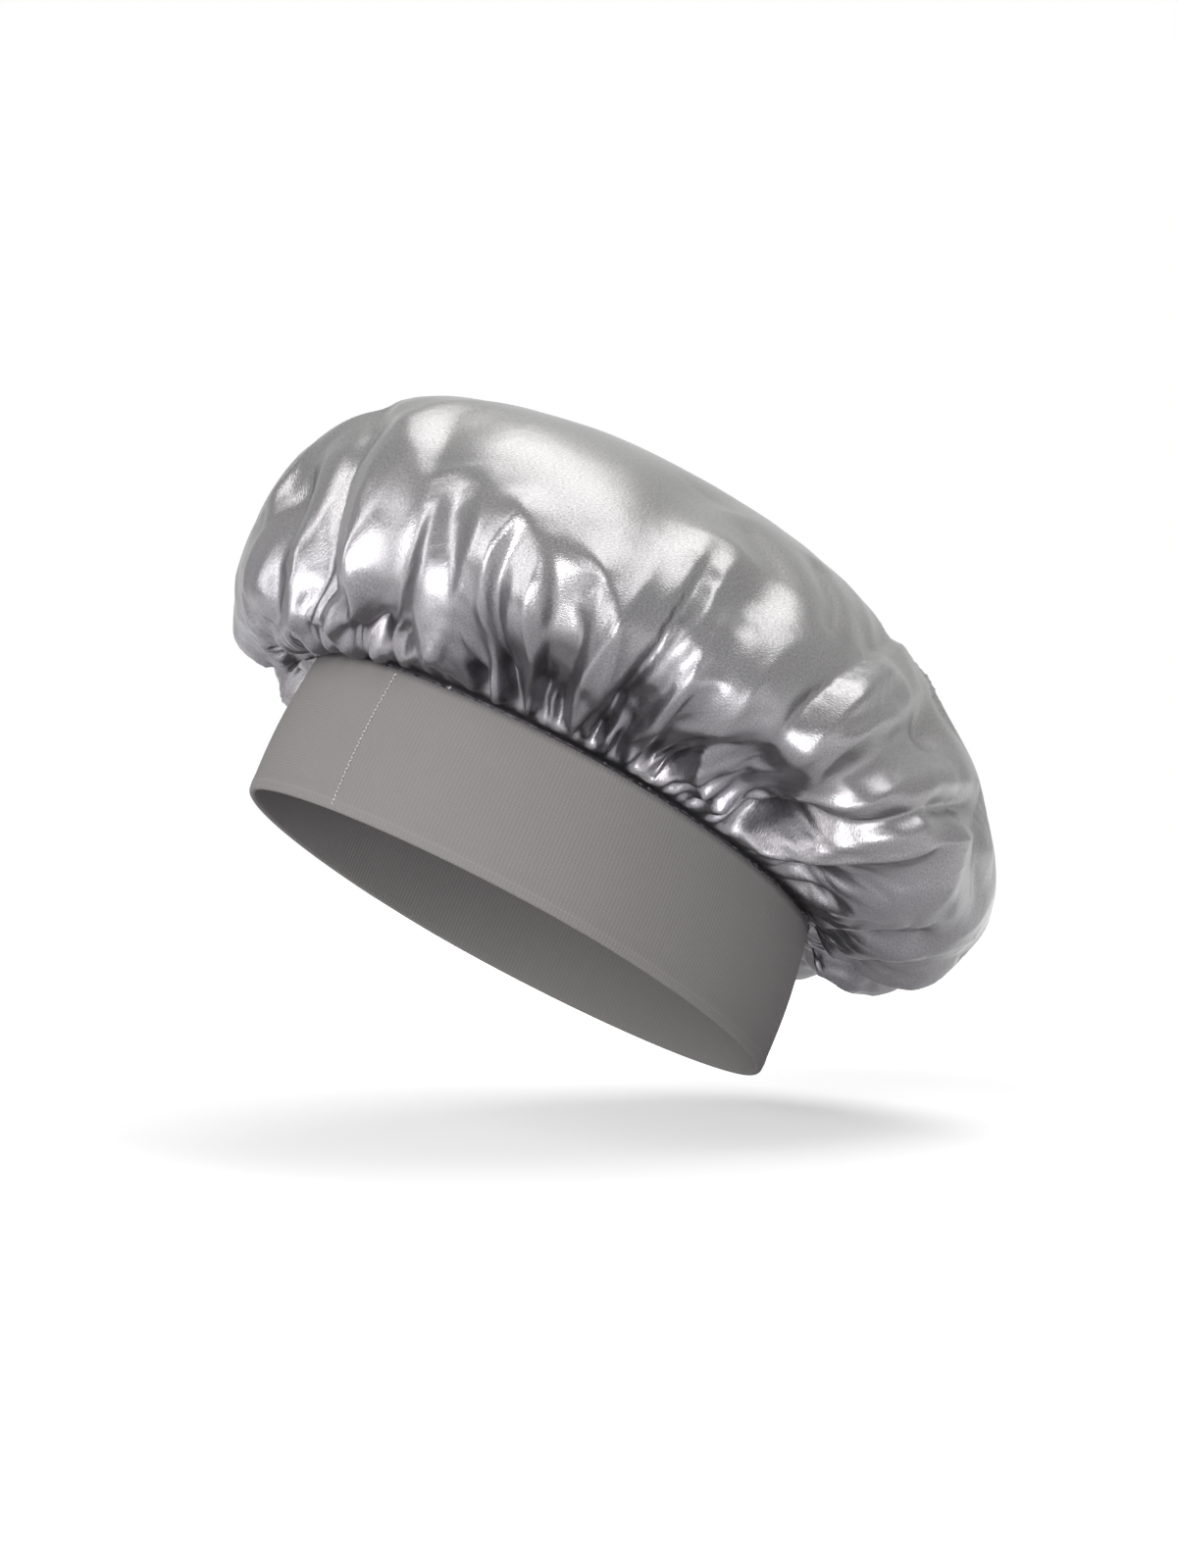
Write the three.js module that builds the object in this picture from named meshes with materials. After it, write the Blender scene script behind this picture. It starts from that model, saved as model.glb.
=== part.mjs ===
import * as THREE from "three";

// A satin sleep bonnet, in millimetres. It stands on the lower edge of its band.
// +Z runs up through the crown and +X points to the back of the head.
// The origin is the middle of the object's box, at the level of the band's lower edge.

// Band: one strip of stretch knit, folded along its length and joined end to end into an oval.
// Its upper edge is a little shorter than the folded lower edge, mostly at the back.
const BAND_HALF_LENGTH = 100;
const BAND_HALF_WIDTH = 75;
const BAND_TOP_HALF_LENGTH = 97.2;
const BAND_TOP_HALF_WIDTH = 72.9;
const BAND_TOP_FORWARD = 4;
const BAND_HEIGHT = 50;
const BAND_BULGE = 1.5;
const BAND_PLY = 0.9;
const BAND_PLY_GAP = 0.4;
const BAND_FOLD_ROUNDING = 0.4;
const OVAL_EXPONENT = 1.84;

// Crown: one disc of satin, gathered to the band's upper edge. Its allowance is turned down inside the band.
// Its front is -X, its back +X, its near side -Y and its far side +Y. The near side's cloth rises from
// the band before it turns out, and elsewhere it hangs over the band in a lip.
const CROWN_WALL = 0.7;
const CROWN_ALLOWANCE = 8;
const CROWN_LIFT_INSIDE = 1.3;
const CROWN_LIFT_OUTSIDE = 2.4;
const CROWN_START_OUT = 1;
const CROWN_RISE = 113;
const CROWN_APEX_FORWARD = 6;
const CROWN_FRONT_OVERHANG = 38;
const CROWN_SIDE_OVERHANG = 48.5;
const CROWN_BACK_OVERHANG = 53;
const CROWN_FRONT_WAIST = 36;
const CROWN_SIDE_WAIST = 28;
const CROWN_BACK_WAIST = 33;
const CROWN_FRONT_DROOP = 22;
const CROWN_NEAR_LIFT = 14;
const CROWN_FAR_DROOP = 14;
const CROWN_BACK_DROOP = 18;
const CROWN_FRONT_EXPONENT = 2.2;
const CROWN_SIDE_EXPONENT = 1.9;
const CROWN_BACK_EXPONENT = 1.52;

// Main folds of the crown. Each runs from the seam towards the apex, and turns on its way: its
// direction at the seam and at its end, and the shares of the way up, of the deepest fold and of the
// usual half width. A depth below zero is a swell.
const FOLD_DEPTH = 8;
const FOLD_HALF_WIDTH = 10;
const MAIN_FOLDS = [
  { seamDeg: 12, endDeg: 20, reachShare: 0.5, depthShare: 0.7, widthShare: 1 },
  { seamDeg: 34, endDeg: 26, reachShare: 0.35, depthShare: 0.6, widthShare: 0.9 },
  { seamDeg: 52, endDeg: 60, reachShare: 0.6, depthShare: 0.9, widthShare: 1 },
  { seamDeg: 74, endDeg: 70, reachShare: 0.4, depthShare: 0.7, widthShare: 0.9 },
  { seamDeg: 92, endDeg: 100, reachShare: 0.6, depthShare: 0.9, widthShare: 1 },
  { seamDeg: 112, endDeg: 106, reachShare: 0.4, depthShare: 0.7, widthShare: 0.9 },
  { seamDeg: 128, endDeg: 134, reachShare: 0.5, depthShare: 0.8, widthShare: 1 },
  { seamDeg: 148, endDeg: 142, reachShare: 0.4, depthShare: 0.6, widthShare: 0.9 },
  { seamDeg: 166, endDeg: 184, reachShare: 0.4, depthShare: 0.6, widthShare: 0.9 },
  { seamDeg: 196, endDeg: 187, reachShare: 0.6, depthShare: 0.7, widthShare: 0.9 },
  { seamDeg: 213, endDeg: 211, reachShare: 0.55, depthShare: 0.9, widthShare: 1 },
  { seamDeg: 224, endDeg: 216, reachShare: 0.5, depthShare: -0.5, widthShare: 0.9 },
  { seamDeg: 234, endDeg: 224, reachShare: 0.4, depthShare: 0.6, widthShare: 0.8 },
  { seamDeg: 243, endDeg: 236, reachShare: 0.4, depthShare: 0.8, widthShare: 0.8 },
  { seamDeg: 250, endDeg: 250, reachShare: 0.45, depthShare: -0.6, widthShare: 0.9 },
  { seamDeg: 256, endDeg: 258, reachShare: 0.5, depthShare: 1, widthShare: 0.8 },
  { seamDeg: 262, endDeg: 263, reachShare: 0.4, depthShare: -0.5, widthShare: 0.9 },
  { seamDeg: 269, endDeg: 273, reachShare: 0.35, depthShare: 0.7, widthShare: 0.8 },
  { seamDeg: 277, endDeg: 305, reachShare: 0.75, depthShare: 1, widthShare: 1.1 },
  { seamDeg: 284, endDeg: 313, reachShare: 0.7, depthShare: -0.7, widthShare: 1 },
  { seamDeg: 291, endDeg: 313, reachShare: 0.5, depthShare: 0.9, widthShare: 0.8 },
  { seamDeg: 305, endDeg: 308, reachShare: 0.35, depthShare: 0.6, widthShare: 0.8 },
  { seamDeg: 333, endDeg: 322, reachShare: 0.3, depthShare: 0.7, widthShare: 0.8 },
  { seamDeg: 342, endDeg: 352, reachShare: 0.3, depthShare: 0.6, widthShare: 0.8 },
];

// Threads: the band's end join, the seam that holds the crown, and the overlock on the cut edge
const JOIN_ANGLE_DEG = 213;
const JOIN_THREAD_RADIUS = 0.2;
const JOIN_STITCHES = 25;
const JOIN_STITCH_RISE = 0.25;
const JOIN_END_MARGIN = 1.2;
const SEAM_THREAD_RADIUS = 0.25;
const SEAM_THREAD_INSET = 0.7;
const OVERLOCK_THREAD_RADIUS = 0.25;
const OVERLOCK_LOOPS = 90;
const OVERLOCK_WIDTH = 5;
const OVERLOCK_MARGIN = 0.6;

const SEAT_GAP = 0.3;

// Facets
const BAND_STATIONS = 96;
const CROWN_STATIONS = 62;
const THREAD_SIDES = 6;
const WALL_LEVEL_SHARES = [1, 0.67, 0.34];
const LIP_SHARES = [0.3, 0.64];
const DOME_SHARES = [0, 0.15, 0.35, 0.59, 0.81];
const LIP_PART_SHARE = 0.28;
const FOLD_FADE_EXPONENT = 0.65;
const FOLD_NARROW_SHARE = 0.4;
const FOLD_NARROW_REACH_SHARE = 0.14;
const LIP_REACH_SHARE = 0.45;
const LIP_NEAR_REACH_SHARE = 0.12;
const LIP_RETURN_SHARE = 0.25;

const bandThickness = 2 * BAND_PLY + BAND_PLY_GAP;
const crownInset = bandThickness + SEAT_GAP + CROWN_WALL / 2;

const satin = new THREE.MeshStandardMaterial({ color: 0xb9b7bf, roughness: 0.3, metalness: 0.7 });
const knit = new THREE.MeshStandardMaterial({ color: 0x838080, roughness: 0.95, metalness: 0 });
const paleThread = new THREE.MeshStandardMaterial({ color: 0xb4b2b4, roughness: 0.6, metalness: 0 });
const darkThread = new THREE.MeshStandardMaterial({ color: 0x3c3a3e, roughness: 0.7, metalness: 0 });

// Joins rows of points into one closed solid. Each row is a loop with the same number of points.
// Two tips close the ends. Without tips the last row meets the first one, as in a ring.
function skin(rows, tips) {
  const count = rows[0].length;
  const points = rows.flat();
  const faces = [];
  const strips = tips ? rows.length - 1 : rows.length;
  for (let row = 0; row < strips; row++) {
    const next = (row + 1) % rows.length;
    for (let k = 0; k < count; k++) {
      const beside = (k + 1) % count;
      const [a, b] = [row * count + k, row * count + beside];
      const [c, d] = [next * count + beside, next * count + k];
      faces.push(a, b, c, a, c, d);
    }
  }
  if (tips) {
    const [first, last] = [points.length, points.length + 1];
    const end = (rows.length - 1) * count;
    points.push(...tips);
    for (let k = 0; k < count; k++) {
      const beside = (k + 1) % count;
      faces.push(first, beside, k, end + k, end + beside, last);
    }
  }
  const geometry = new THREE.BufferGeometry().setFromPoints(points);
  geometry.setIndex(faces);
  geometry.computeVertexNormals();
  return geometry;
}

// A round thread along a path. Each station holds a point and the direction away from the cloth.
function thread(stations, radius, closed) {
  const count = stations.length;
  const rows = stations.map((station, i) => {
    const before = stations[closed ? (i + count - 1) % count : Math.max(i - 1, 0)].point;
    const after = stations[closed ? (i + 1) % count : Math.min(i + 1, count - 1)].point;
    const along = after.clone().sub(before).normalize();
    const away = station.away.clone().addScaledVector(along, -station.away.dot(along)).normalize();
    const across = along.clone().cross(away);
    return Array.from({ length: THREAD_SIDES }, (_, k) => {
      const turn = (k / THREAD_SIDES) * 2 * Math.PI;
      return station.point
        .clone()
        .addScaledVector(away, radius * Math.cos(turn))
        .addScaledVector(across, radius * Math.sin(turn));
    });
  });
  return skin(rows, closed ? null : [stations[0].point, stations[count - 1].point]);
}

function angles(count) {
  return Array.from({ length: count }, (_, k) => (k / count) * 2 * Math.PI);
}

// Mixes a front, a near, a far and a back value by the direction from the middle of the head.
function around(angle, front, near, far, back) {
  const [c, s] = [Math.cos(angle), Math.sin(angle)];
  return THREE.MathUtils.lerp(s < 0 ? near : far, c < 0 ? front : back, c ** 2);
}

// A place on the band's outer face at a height, moved into the wall by an inset.
// In plan the band is a superellipse, and between its edges the wall bulges in a sine curve.
function onBand(angle, height, inset) {
  const share = Math.min(height / BAND_HEIGHT, 1);
  const bulge = BAND_BULGE * Math.sin(Math.PI * share);
  const halfLength = THREE.MathUtils.lerp(BAND_HALF_LENGTH, BAND_TOP_HALF_LENGTH, share) + bulge;
  const halfWidth = THREE.MathUtils.lerp(BAND_HALF_WIDTH, BAND_TOP_HALF_WIDTH, share) + bulge;
  const [c, s] = [Math.cos(angle), Math.sin(angle)];
  const power = 2 / OVAL_EXPONENT;
  const x = halfLength * Math.sign(c) * Math.abs(c) ** power;
  const y = halfWidth * Math.sign(s) * Math.abs(s) ** power;
  const away = new THREE.Vector3(
    (Math.sign(x) * Math.abs(x / halfLength) ** (OVAL_EXPONENT - 1)) / halfLength,
    (Math.sign(y) * Math.abs(y / halfWidth) ** (OVAL_EXPONENT - 1)) / halfWidth,
    0,
  ).normalize();
  const point = new THREE.Vector3(x - BAND_TOP_FORWARD * share, y, height).addScaledVector(away, -inset);
  return { point, away };
}

// The band's section is a narrow U: the outer ply, the flat fold that it stands on, and the inner ply.
function bandSection(angle) {
  const at = (inset, height) => onBand(angle, height, inset).point;
  const levels = WALL_LEVEL_SHARES.map((share) => share * BAND_HEIGHT);
  const innerFace = bandThickness;
  const slotOuter = BAND_PLY;
  const slotInner = BAND_PLY + BAND_PLY_GAP;
  return [
    ...levels.map((height) => at(0, height)),
    at(0, BAND_FOLD_ROUNDING),
    at(BAND_FOLD_ROUNDING, 0),
    at(innerFace - BAND_FOLD_ROUNDING, 0),
    at(innerFace, BAND_FOLD_ROUNDING),
    ...levels.toReversed().map((height) => at(innerFace, height)),
    ...levels.map((height) => at(slotInner, height)),
    at(slotInner, BAND_PLY),
    at(slotOuter, BAND_PLY),
    ...levels.toReversed().map((height) => at(slotOuter, height)),
  ];
}

function knitBand() {
  return skin(angles(BAND_STATIONS).map(bandSection));
}

// The widest place of the crown in one direction.
function crownWaist(angle) {
  const front = BAND_TOP_HALF_LENGTH + BAND_TOP_FORWARD + CROWN_FRONT_OVERHANG;
  const back = BAND_TOP_HALF_LENGTH - BAND_TOP_FORWARD + CROWN_BACK_OVERHANG;
  const side = BAND_TOP_HALF_WIDTH + CROWN_SIDE_OVERHANG;
  const c = Math.cos(angle);
  const length = THREE.MathUtils.lerp(front, back, (1 + c) / 2);
  const rise = around(angle, CROWN_FRONT_WAIST, CROWN_SIDE_WAIST, CROWN_SIDE_WAIST, CROWN_BACK_WAIST);
  return new THREE.Vector3(length * c, side * Math.sin(angle), BAND_HEIGHT + rise);
}

// The lip runs from the band's upper edge to the waist: a cubic Bezier curve. Its first handle is
// low where the cloth hangs, and close to the band and high where the cloth rises.
function crownLip(angle, share) {
  const start = onBand(angle, BAND_HEIGHT, -CROWN_START_OUT).point;
  start.z += CROWN_LIFT_OUTSIDE;
  const waist = crownWaist(angle);
  const droops = [CROWN_FRONT_DROOP, CROWN_FAR_DROOP, CROWN_BACK_DROOP];
  const [front, far, back] = droops.map((droop) => -droop);
  const [frontTurn, farTurn, backTurn] = droops.map((droop) => -LIP_RETURN_SHARE * droop);
  const reach = around(angle, LIP_REACH_SHARE, LIP_NEAR_REACH_SHARE, LIP_REACH_SHARE, LIP_REACH_SHARE);
  const low = start.clone().lerp(waist, reach);
  low.z = BAND_HEIGHT + around(angle, front, CROWN_NEAR_LIFT, far, back);
  const turn = waist.clone();
  turn.z = BAND_HEIGHT + around(angle, frontTurn, CROWN_NEAR_LIFT, farTurn, backTurn);
  return new THREE.CubicBezierCurve3(start, low, turn, waist).getPoint(share);
}

// The dome runs from the waist to the apex: a quarter of a superellipse.
function crownDome(angle, share) {
  const waist = crownWaist(angle);
  const power = 2 / around(angle, CROWN_FRONT_EXPONENT, CROWN_SIDE_EXPONENT, CROWN_SIDE_EXPONENT, CROWN_BACK_EXPONENT);
  const turn = (share * Math.PI) / 2;
  const out = Math.cos(turn) ** power;
  const up = Math.sin(turn) ** power;
  return new THREE.Vector3(
    waist.x * out - CROWN_APEX_FORWARD * up,
    waist.y * out,
    THREE.MathUtils.lerp(waist.z, BAND_HEIGHT + CROWN_RISE, up),
  );
}

// How far the main folds move the cloth out at a place. Across, a fold is a bell curve that is narrow
// at the seam. Along, it is zero at the seam and at its end, and deepest in its first third.
function foldHeight(place, angle, share) {
  const distance = Math.hypot(place.x, place.y);
  const narrow = THREE.MathUtils.lerp(FOLD_NARROW_SHARE, 1, Math.min(share / FOLD_NARROW_REACH_SHARE, 1));
  let height = 0;
  for (const fold of MAIN_FOLDS) {
    const along = Math.min(share / fold.reachShare, 1);
    const middle = THREE.MathUtils.degToRad(THREE.MathUtils.lerp(fold.seamDeg, fold.endDeg, along));
    const turn = Math.atan2(Math.sin(angle - middle), Math.cos(angle - middle));
    const across = (distance * turn) / (FOLD_HALF_WIDTH * fold.widthShare * narrow);
    const depth = FOLD_DEPTH * fold.depthShare * Math.sin(Math.PI * along ** FOLD_FADE_EXPONENT);
    height -= depth * Math.exp(-(across ** 2));
  }
  return height;
}

// The middle of the cloth, as rows from the cut edge inside the band up to the last row below the apex.
function crownRows() {
  const turns = angles(CROWN_STATIONS);
  const allowance = [BAND_HEIGHT - CROWN_ALLOWANCE, BAND_HEIGHT + CROWN_LIFT_INSIDE];
  const rows = allowance.map((height) =>
    turns.map((angle) => {
      const point = onBand(angle, Math.min(height, BAND_HEIGHT), crownInset).point;
      return point.setZ(height);
    }),
  );
  rows.push(turns.map((angle) => crownLip(angle, 0)));
  const profile = [
    ...LIP_SHARES.map((share) => ({ curve: crownLip, share, along: share * LIP_PART_SHARE })),
    ...DOME_SHARES.map((share) => ({
      curve: crownDome,
      share,
      along: THREE.MathUtils.lerp(LIP_PART_SHARE, 1, share),
    })),
  ];
  const smooth = profile.map(({ curve, share }) => turns.map((angle) => curve(angle, share)));
  const normals = rowNormals([rows[2], ...smooth], crownApex()).slice(1);
  smooth.forEach((row, i) => {
    const folded = (point, k) =>
      point.clone().addScaledVector(normals[i][k], foldHeight(point, turns[k], profile[i].along));
    rows.push(row.map(folded));
  });
  return rows;
}

function crownApex() {
  return new THREE.Vector3(-CROWN_APEX_FORWARD, 0, BAND_HEIGHT + CROWN_RISE);
}

// The direction out of the cloth at each point of a grid of rows that closes at an apex.
function rowNormals(rows, apex) {
  const count = rows[0].length;
  return rows.map((row, i) =>
    row.map((_, k) => {
      const round = row[(k + 1) % count].clone().sub(row[(k + count - 1) % count]);
      const above = i + 1 < rows.length ? rows[i + 1][k] : apex;
      const below = rows[Math.max(i - 1, 0)][k];
      return round.cross(above.clone().sub(below)).normalize();
    }),
  );
}

// A thin shell, open at the band: the inner face from the apex down, then the outer face back up.
function satinCrown() {
  const rows = crownRows();
  const apex = crownApex();
  const normals = rowNormals(rows, apex);
  const face = (side) =>
    rows.map((row, i) => row.map((point, k) => point.clone().addScaledVector(normals[i][k], side)));
  const half = new THREE.Vector3(0, 0, CROWN_WALL / 2);
  const inner = face(-CROWN_WALL / 2).toReversed();
  const outer = face(CROWN_WALL / 2);
  return skin([...inner, ...outer], [apex.clone().sub(half), apex.clone().add(half)]);
}

// Stitches of the band's end join: the thread stands out in the middle of each stitch and dips between two.
function joinStitch(onInnerFace) {
  const angle = THREE.MathUtils.degToRad(JOIN_ANGLE_DEG);
  const bottom = JOIN_END_MARGIN;
  const top = onInnerFace
    ? BAND_HEIGHT - CROWN_ALLOWANCE - JOIN_END_MARGIN
    : BAND_HEIGHT - JOIN_END_MARGIN;
  const stations = [];
  for (let step = 0; step <= 2 * JOIN_STITCHES; step++) {
    const height = THREE.MathUtils.lerp(bottom, top, step / (2 * JOIN_STITCHES));
    const rise = step % 2 ? JOIN_STITCH_RISE : 0;
    const clear = SEAT_GAP + JOIN_THREAD_RADIUS + rise;
    const { point, away } = onBand(angle, height, onInnerFace ? bandThickness + clear : -clear);
    stations.push({ point, away: onInnerFace ? away.negate() : away });
  }
  return thread(stations, JOIN_THREAD_RADIUS, false);
}

// The seam thread lies on the band's upper edge, in the ditch below the first gathers.
function seamThread() {
  const stations = angles(BAND_STATIONS).map((angle) => {
    const { point } = onBand(angle, BAND_HEIGHT, SEAM_THREAD_INSET);
    point.z += SEAT_GAP + SEAM_THREAD_RADIUS;
    return { point, away: new THREE.Vector3(0, 0, 1) };
  });
  return thread(stations, SEAM_THREAD_RADIUS, true);
}

// The overlock zigzags round the crown's allowance, on the side that faces the hair.
function overlockThread() {
  const inset = crownInset + CROWN_WALL / 2 + SEAT_GAP + OVERLOCK_THREAD_RADIUS;
  const low = BAND_HEIGHT - CROWN_ALLOWANCE + OVERLOCK_MARGIN;
  const stations = angles(2 * OVERLOCK_LOOPS).map((angle, i) => {
    const height = i % 2 ? low : low + OVERLOCK_WIDTH;
    const { point, away } = onBand(angle, height, inset);
    return { point, away: away.negate() };
  });
  return thread(stations, OVERLOCK_THREAD_RADIUS, true);
}

function piece(name, geometry, material) {
  const mesh = new THREE.Mesh(geometry, material);
  mesh.name = name;
  return mesh;
}

const bonnet = new THREE.Group();
bonnet.add(
  piece("satin_crown", satinCrown(), satin),
  piece("knit_band", knitBand(), knit),
  piece("band_join_stitch_outer", joinStitch(false), paleThread),
  piece("band_join_stitch_inner", joinStitch(true), paleThread),
  piece("gather_seam_thread", seamThread(), darkThread),
  piece("overlock_thread", overlockThread(), paleThread),
);

// The box's middle goes to the origin.
const middle = new THREE.Box3().setFromObject(bonnet).getCenter(new THREE.Vector3());
bonnet.position.set(-middle.x, -middle.y, 0);

export default bonnet;
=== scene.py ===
# %% [markdown]
# # A satin sleep bonnet
# This lesson dresses a plain CAD bonnet as the real one: a round disc of silver-grey satin,
# gathered into a wide, folded band of matte stretch knit.
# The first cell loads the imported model. Its nodes stay where they are, and every new piece
# goes round them. All lengths are in metres, and the band stands on the height zero.

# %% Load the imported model
import math

import bpy
import numpy as np
from mathutils import Matrix, Vector


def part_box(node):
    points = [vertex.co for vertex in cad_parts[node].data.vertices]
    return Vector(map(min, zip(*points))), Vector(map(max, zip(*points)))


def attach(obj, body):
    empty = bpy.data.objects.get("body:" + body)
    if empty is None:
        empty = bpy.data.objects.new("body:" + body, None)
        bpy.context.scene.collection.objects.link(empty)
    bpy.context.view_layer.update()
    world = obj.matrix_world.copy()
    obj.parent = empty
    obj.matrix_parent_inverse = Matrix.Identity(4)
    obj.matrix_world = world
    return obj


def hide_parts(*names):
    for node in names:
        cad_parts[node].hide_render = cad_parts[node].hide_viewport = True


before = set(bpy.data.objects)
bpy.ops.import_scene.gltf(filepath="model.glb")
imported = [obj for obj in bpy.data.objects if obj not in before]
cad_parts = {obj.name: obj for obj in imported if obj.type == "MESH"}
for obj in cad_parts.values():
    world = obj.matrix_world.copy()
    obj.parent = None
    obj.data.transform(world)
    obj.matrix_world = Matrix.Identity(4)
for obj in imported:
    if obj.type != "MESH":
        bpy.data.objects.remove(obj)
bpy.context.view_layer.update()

# %% [markdown]
# ## The bonnet's own sizes
# These are the lengths of the CAD source, in metres. The new surfaces start from them, so that
# the satin and the knit lie where the solids are.

# %% Sizes of the band and of the crown
BAND_LOW = dict(half_length=0.100, half_width=0.075)
BAND_TOP = dict(half_length=0.0972, half_width=0.0729)
BAND_TOP_FORWARD = 0.004
BAND_HEIGHT = 0.050
BAND_BULGE = 0.0015
BAND_PLY = 0.0009
BAND_PLY_GAP = 0.0004
OVAL_EXPONENT = 1.84
CROWN_RISE = 0.113
CROWN_APEX_FORWARD = 0.006
CROWN_OVERHANG = dict(front=0.038, side=0.0485, back=0.053)
CROWN_WAIST = dict(front=0.036, near=0.028, far=0.028, back=0.033)
CROWN_ROUNDNESS = dict(front=2.2, near=1.9, far=1.9, back=1.52)
LIP_REACH = dict(front=0.45, near=0.12, far=0.45, back=0.45)
LIP_LOW = dict(front=-0.022, near=0.014, far=-0.014, back=-0.018)
LIP_TURN = dict(front=-0.0055, near=0.014, far=-0.0035, back=-0.0045)
CROWN_START_OUT = 0.001
CROWN_LIFT_OUTSIDE = 0.0024
CROWN_LIFT_INSIDE = 0.0013
CROWN_ALLOWANCE = 0.008
DISC_RADIUS = 0.240
JOIN_ANGLE = math.radians(213)

BAND_THICKNESS = 2 * BAND_PLY + BAND_PLY_GAP
# The upper edge stands forward, so the middle of the band's box lies a little before the head's.
BOX_TO_HEAD = 0.00105

band_low, band_high = (np.array(corner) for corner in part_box("knit_band"))
band_middle = (band_low + band_high) / 2
HEAD_MIDDLE = np.array([band_middle[0] + BOX_TO_HEAD, band_middle[1], 0.0])
print("The band stands round", HEAD_MIDDLE.round(5))

# %% [markdown]
# ## Camera
# The photograph looks at the bonnet from its side and from a little below, with the front end
# raised. The camera is rolled, so the bonnet keeps its upright place in the frame. One point of
# the band and its pixel in the photograph fix where the camera points.

# %% The camera and the pixel that a point falls on
PHOTO_SIZE = (1200, 1599)
CAMERA_AZIMUTH = math.radians(-16.80)
CAMERA_ELEVATION = math.radians(-9.36)
CAMERA_ROLL = math.radians(27.47)
CAMERA_DISTANCE = 1.0
FOCAL_PIXELS = 3042.0
MIDDLE_PIXEL = (517.1, 954.6)
SENSOR_MM = 36.0

to_camera = np.array([
    math.sin(CAMERA_AZIMUTH) * math.cos(CAMERA_ELEVATION),
    -math.cos(CAMERA_AZIMUTH) * math.cos(CAMERA_ELEVATION),
    math.sin(CAMERA_ELEVATION),
])
level_right = np.array([math.cos(CAMERA_AZIMUTH), math.sin(CAMERA_AZIMUTH), 0.0])
level_up = np.cross(to_camera, level_right)
photo_right = math.cos(CAMERA_ROLL) * level_right + math.sin(CAMERA_ROLL) * level_up
photo_up = -math.sin(CAMERA_ROLL) * level_right + math.cos(CAMERA_ROLL) * level_up
camera_place = HEAD_MIDDLE + to_camera * CAMERA_DISTANCE


def pixels_of(points):
    """Pixel column and row of each point: its offsets to the right and up, divided by its depth."""
    offset = points - camera_place
    depth = -(offset @ to_camera)
    column = MIDDLE_PIXEL[0] + FOCAL_PIXELS * (offset @ photo_right) / depth
    row = MIDDLE_PIXEL[1] - FOCAL_PIXELS * (offset @ photo_up) / depth
    return np.stack([column, row], -1)


def add_object(name, data, turn=None):
    """Links a new object to the scene, at the origin or at a place and turn."""
    made = bpy.data.objects.new(name, data)
    if turn is not None:
        made.matrix_world = turn
    bpy.context.collection.objects.link(made)
    return made


def add_camera():
    """Turns the camera so that the photograph's middle pixel lies on its axis."""
    aim = -to_camera * FOCAL_PIXELS
    aim = aim + photo_right * (PHOTO_SIZE[0] / 2 - MIDDLE_PIXEL[0])
    aim = aim + photo_up * (MIDDLE_PIXEL[1] - PHOTO_SIZE[1] / 2)
    back = Vector(-aim).normalized()
    right = Vector(photo_right)
    right = (right - back * right.dot(back)).normalized()
    turn = Matrix((right, back.cross(right), back)).transposed().to_4x4()
    data = bpy.data.cameras.new("photo_camera")
    data.sensor_width = SENSOR_MM
    data.lens = SENSOR_MM * FOCAL_PIXELS / PHOTO_SIZE[1]
    data.clip_end = 20
    turn.translation = Vector(camera_place)
    camera = add_object("photo_camera", data, turn)
    bpy.context.scene.camera = camera
    return camera


camera = add_camera()
print("Lens:", round(camera.data.lens, 1), "mm")

# %% [markdown]
# ## Studio
# A white studio: the world is plain white where the camera or a glossy ray looks, and a soft grey
# light elsewhere. A white backdrop could do the same, but it would stand in the way of other views.
# The world, the floor and every finish below are trees of nodes. Two helpers keep the trees short:
# one adds a node and fills its sockets with links or plain values, and one adds a Math node.

# %% Helpers for nodes
def fill(tree, node, inputs):
    """Gives each socket, by its name or number, a link or a value."""
    for socket, source in inputs.items():
        if isinstance(source, bpy.types.NodeSocket):
            tree.links.new(source, node.inputs[socket])
        else:
            node.inputs[socket].default_value = source
    return node


def put(tree, kind, inputs, **settings):
    """Adds a shader node of a kind, makes its settings and then fills its sockets."""
    node = tree.nodes.new("ShaderNode" + kind)
    for key, value in settings.items():
        setattr(node, key, value)
    return fill(tree, node, inputs)


def calculate(tree, operation, *sources):
    """A Math node with its sources in order. Returns the socket of its result."""
    return put(tree, "Math", dict(enumerate(sources)), operation=operation).outputs[0]


# %% White world
WORLD_LIGHT = 0.10


def empty_tree(owner):
    """The node tree of a world or a material, without the nodes that it starts with."""
    owner.use_nodes = True
    owner.node_tree.nodes.clear()
    return owner.node_tree


def seen_rays(tree):
    """1 for the rays that show the background: camera, glossy and transmission rays. 0 for others."""
    rays = put(tree, "LightPath", {}).outputs
    camera_or_glossy = calculate(tree, "MAXIMUM", rays["Is Camera Ray"], rays["Is Glossy Ray"])
    return calculate(tree, "MAXIMUM", camera_or_glossy, rays["Is Transmission Ray"])


def white_world(tree, strength):
    """Plain white of a strength."""
    return put(tree, "Background", {"Color": (1, 1, 1, 1), "Strength": strength}).outputs[0]


def add_world():
    """Strength 1 for the rays that show the background, and WORLD_LIGHT for the rest."""
    world = bpy.data.worlds.new("studio")
    bpy.context.scene.world = world
    tree = empty_tree(world)
    choose = {0: seen_rays(tree), 1: white_world(tree, WORLD_LIGHT), 2: white_world(tree, 1)}
    put(tree, "OutputWorld", {"Surface": put(tree, "MixShader", choose).outputs[0]})
    return tree


print("World:", len(add_world().nodes), "nodes")

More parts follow.
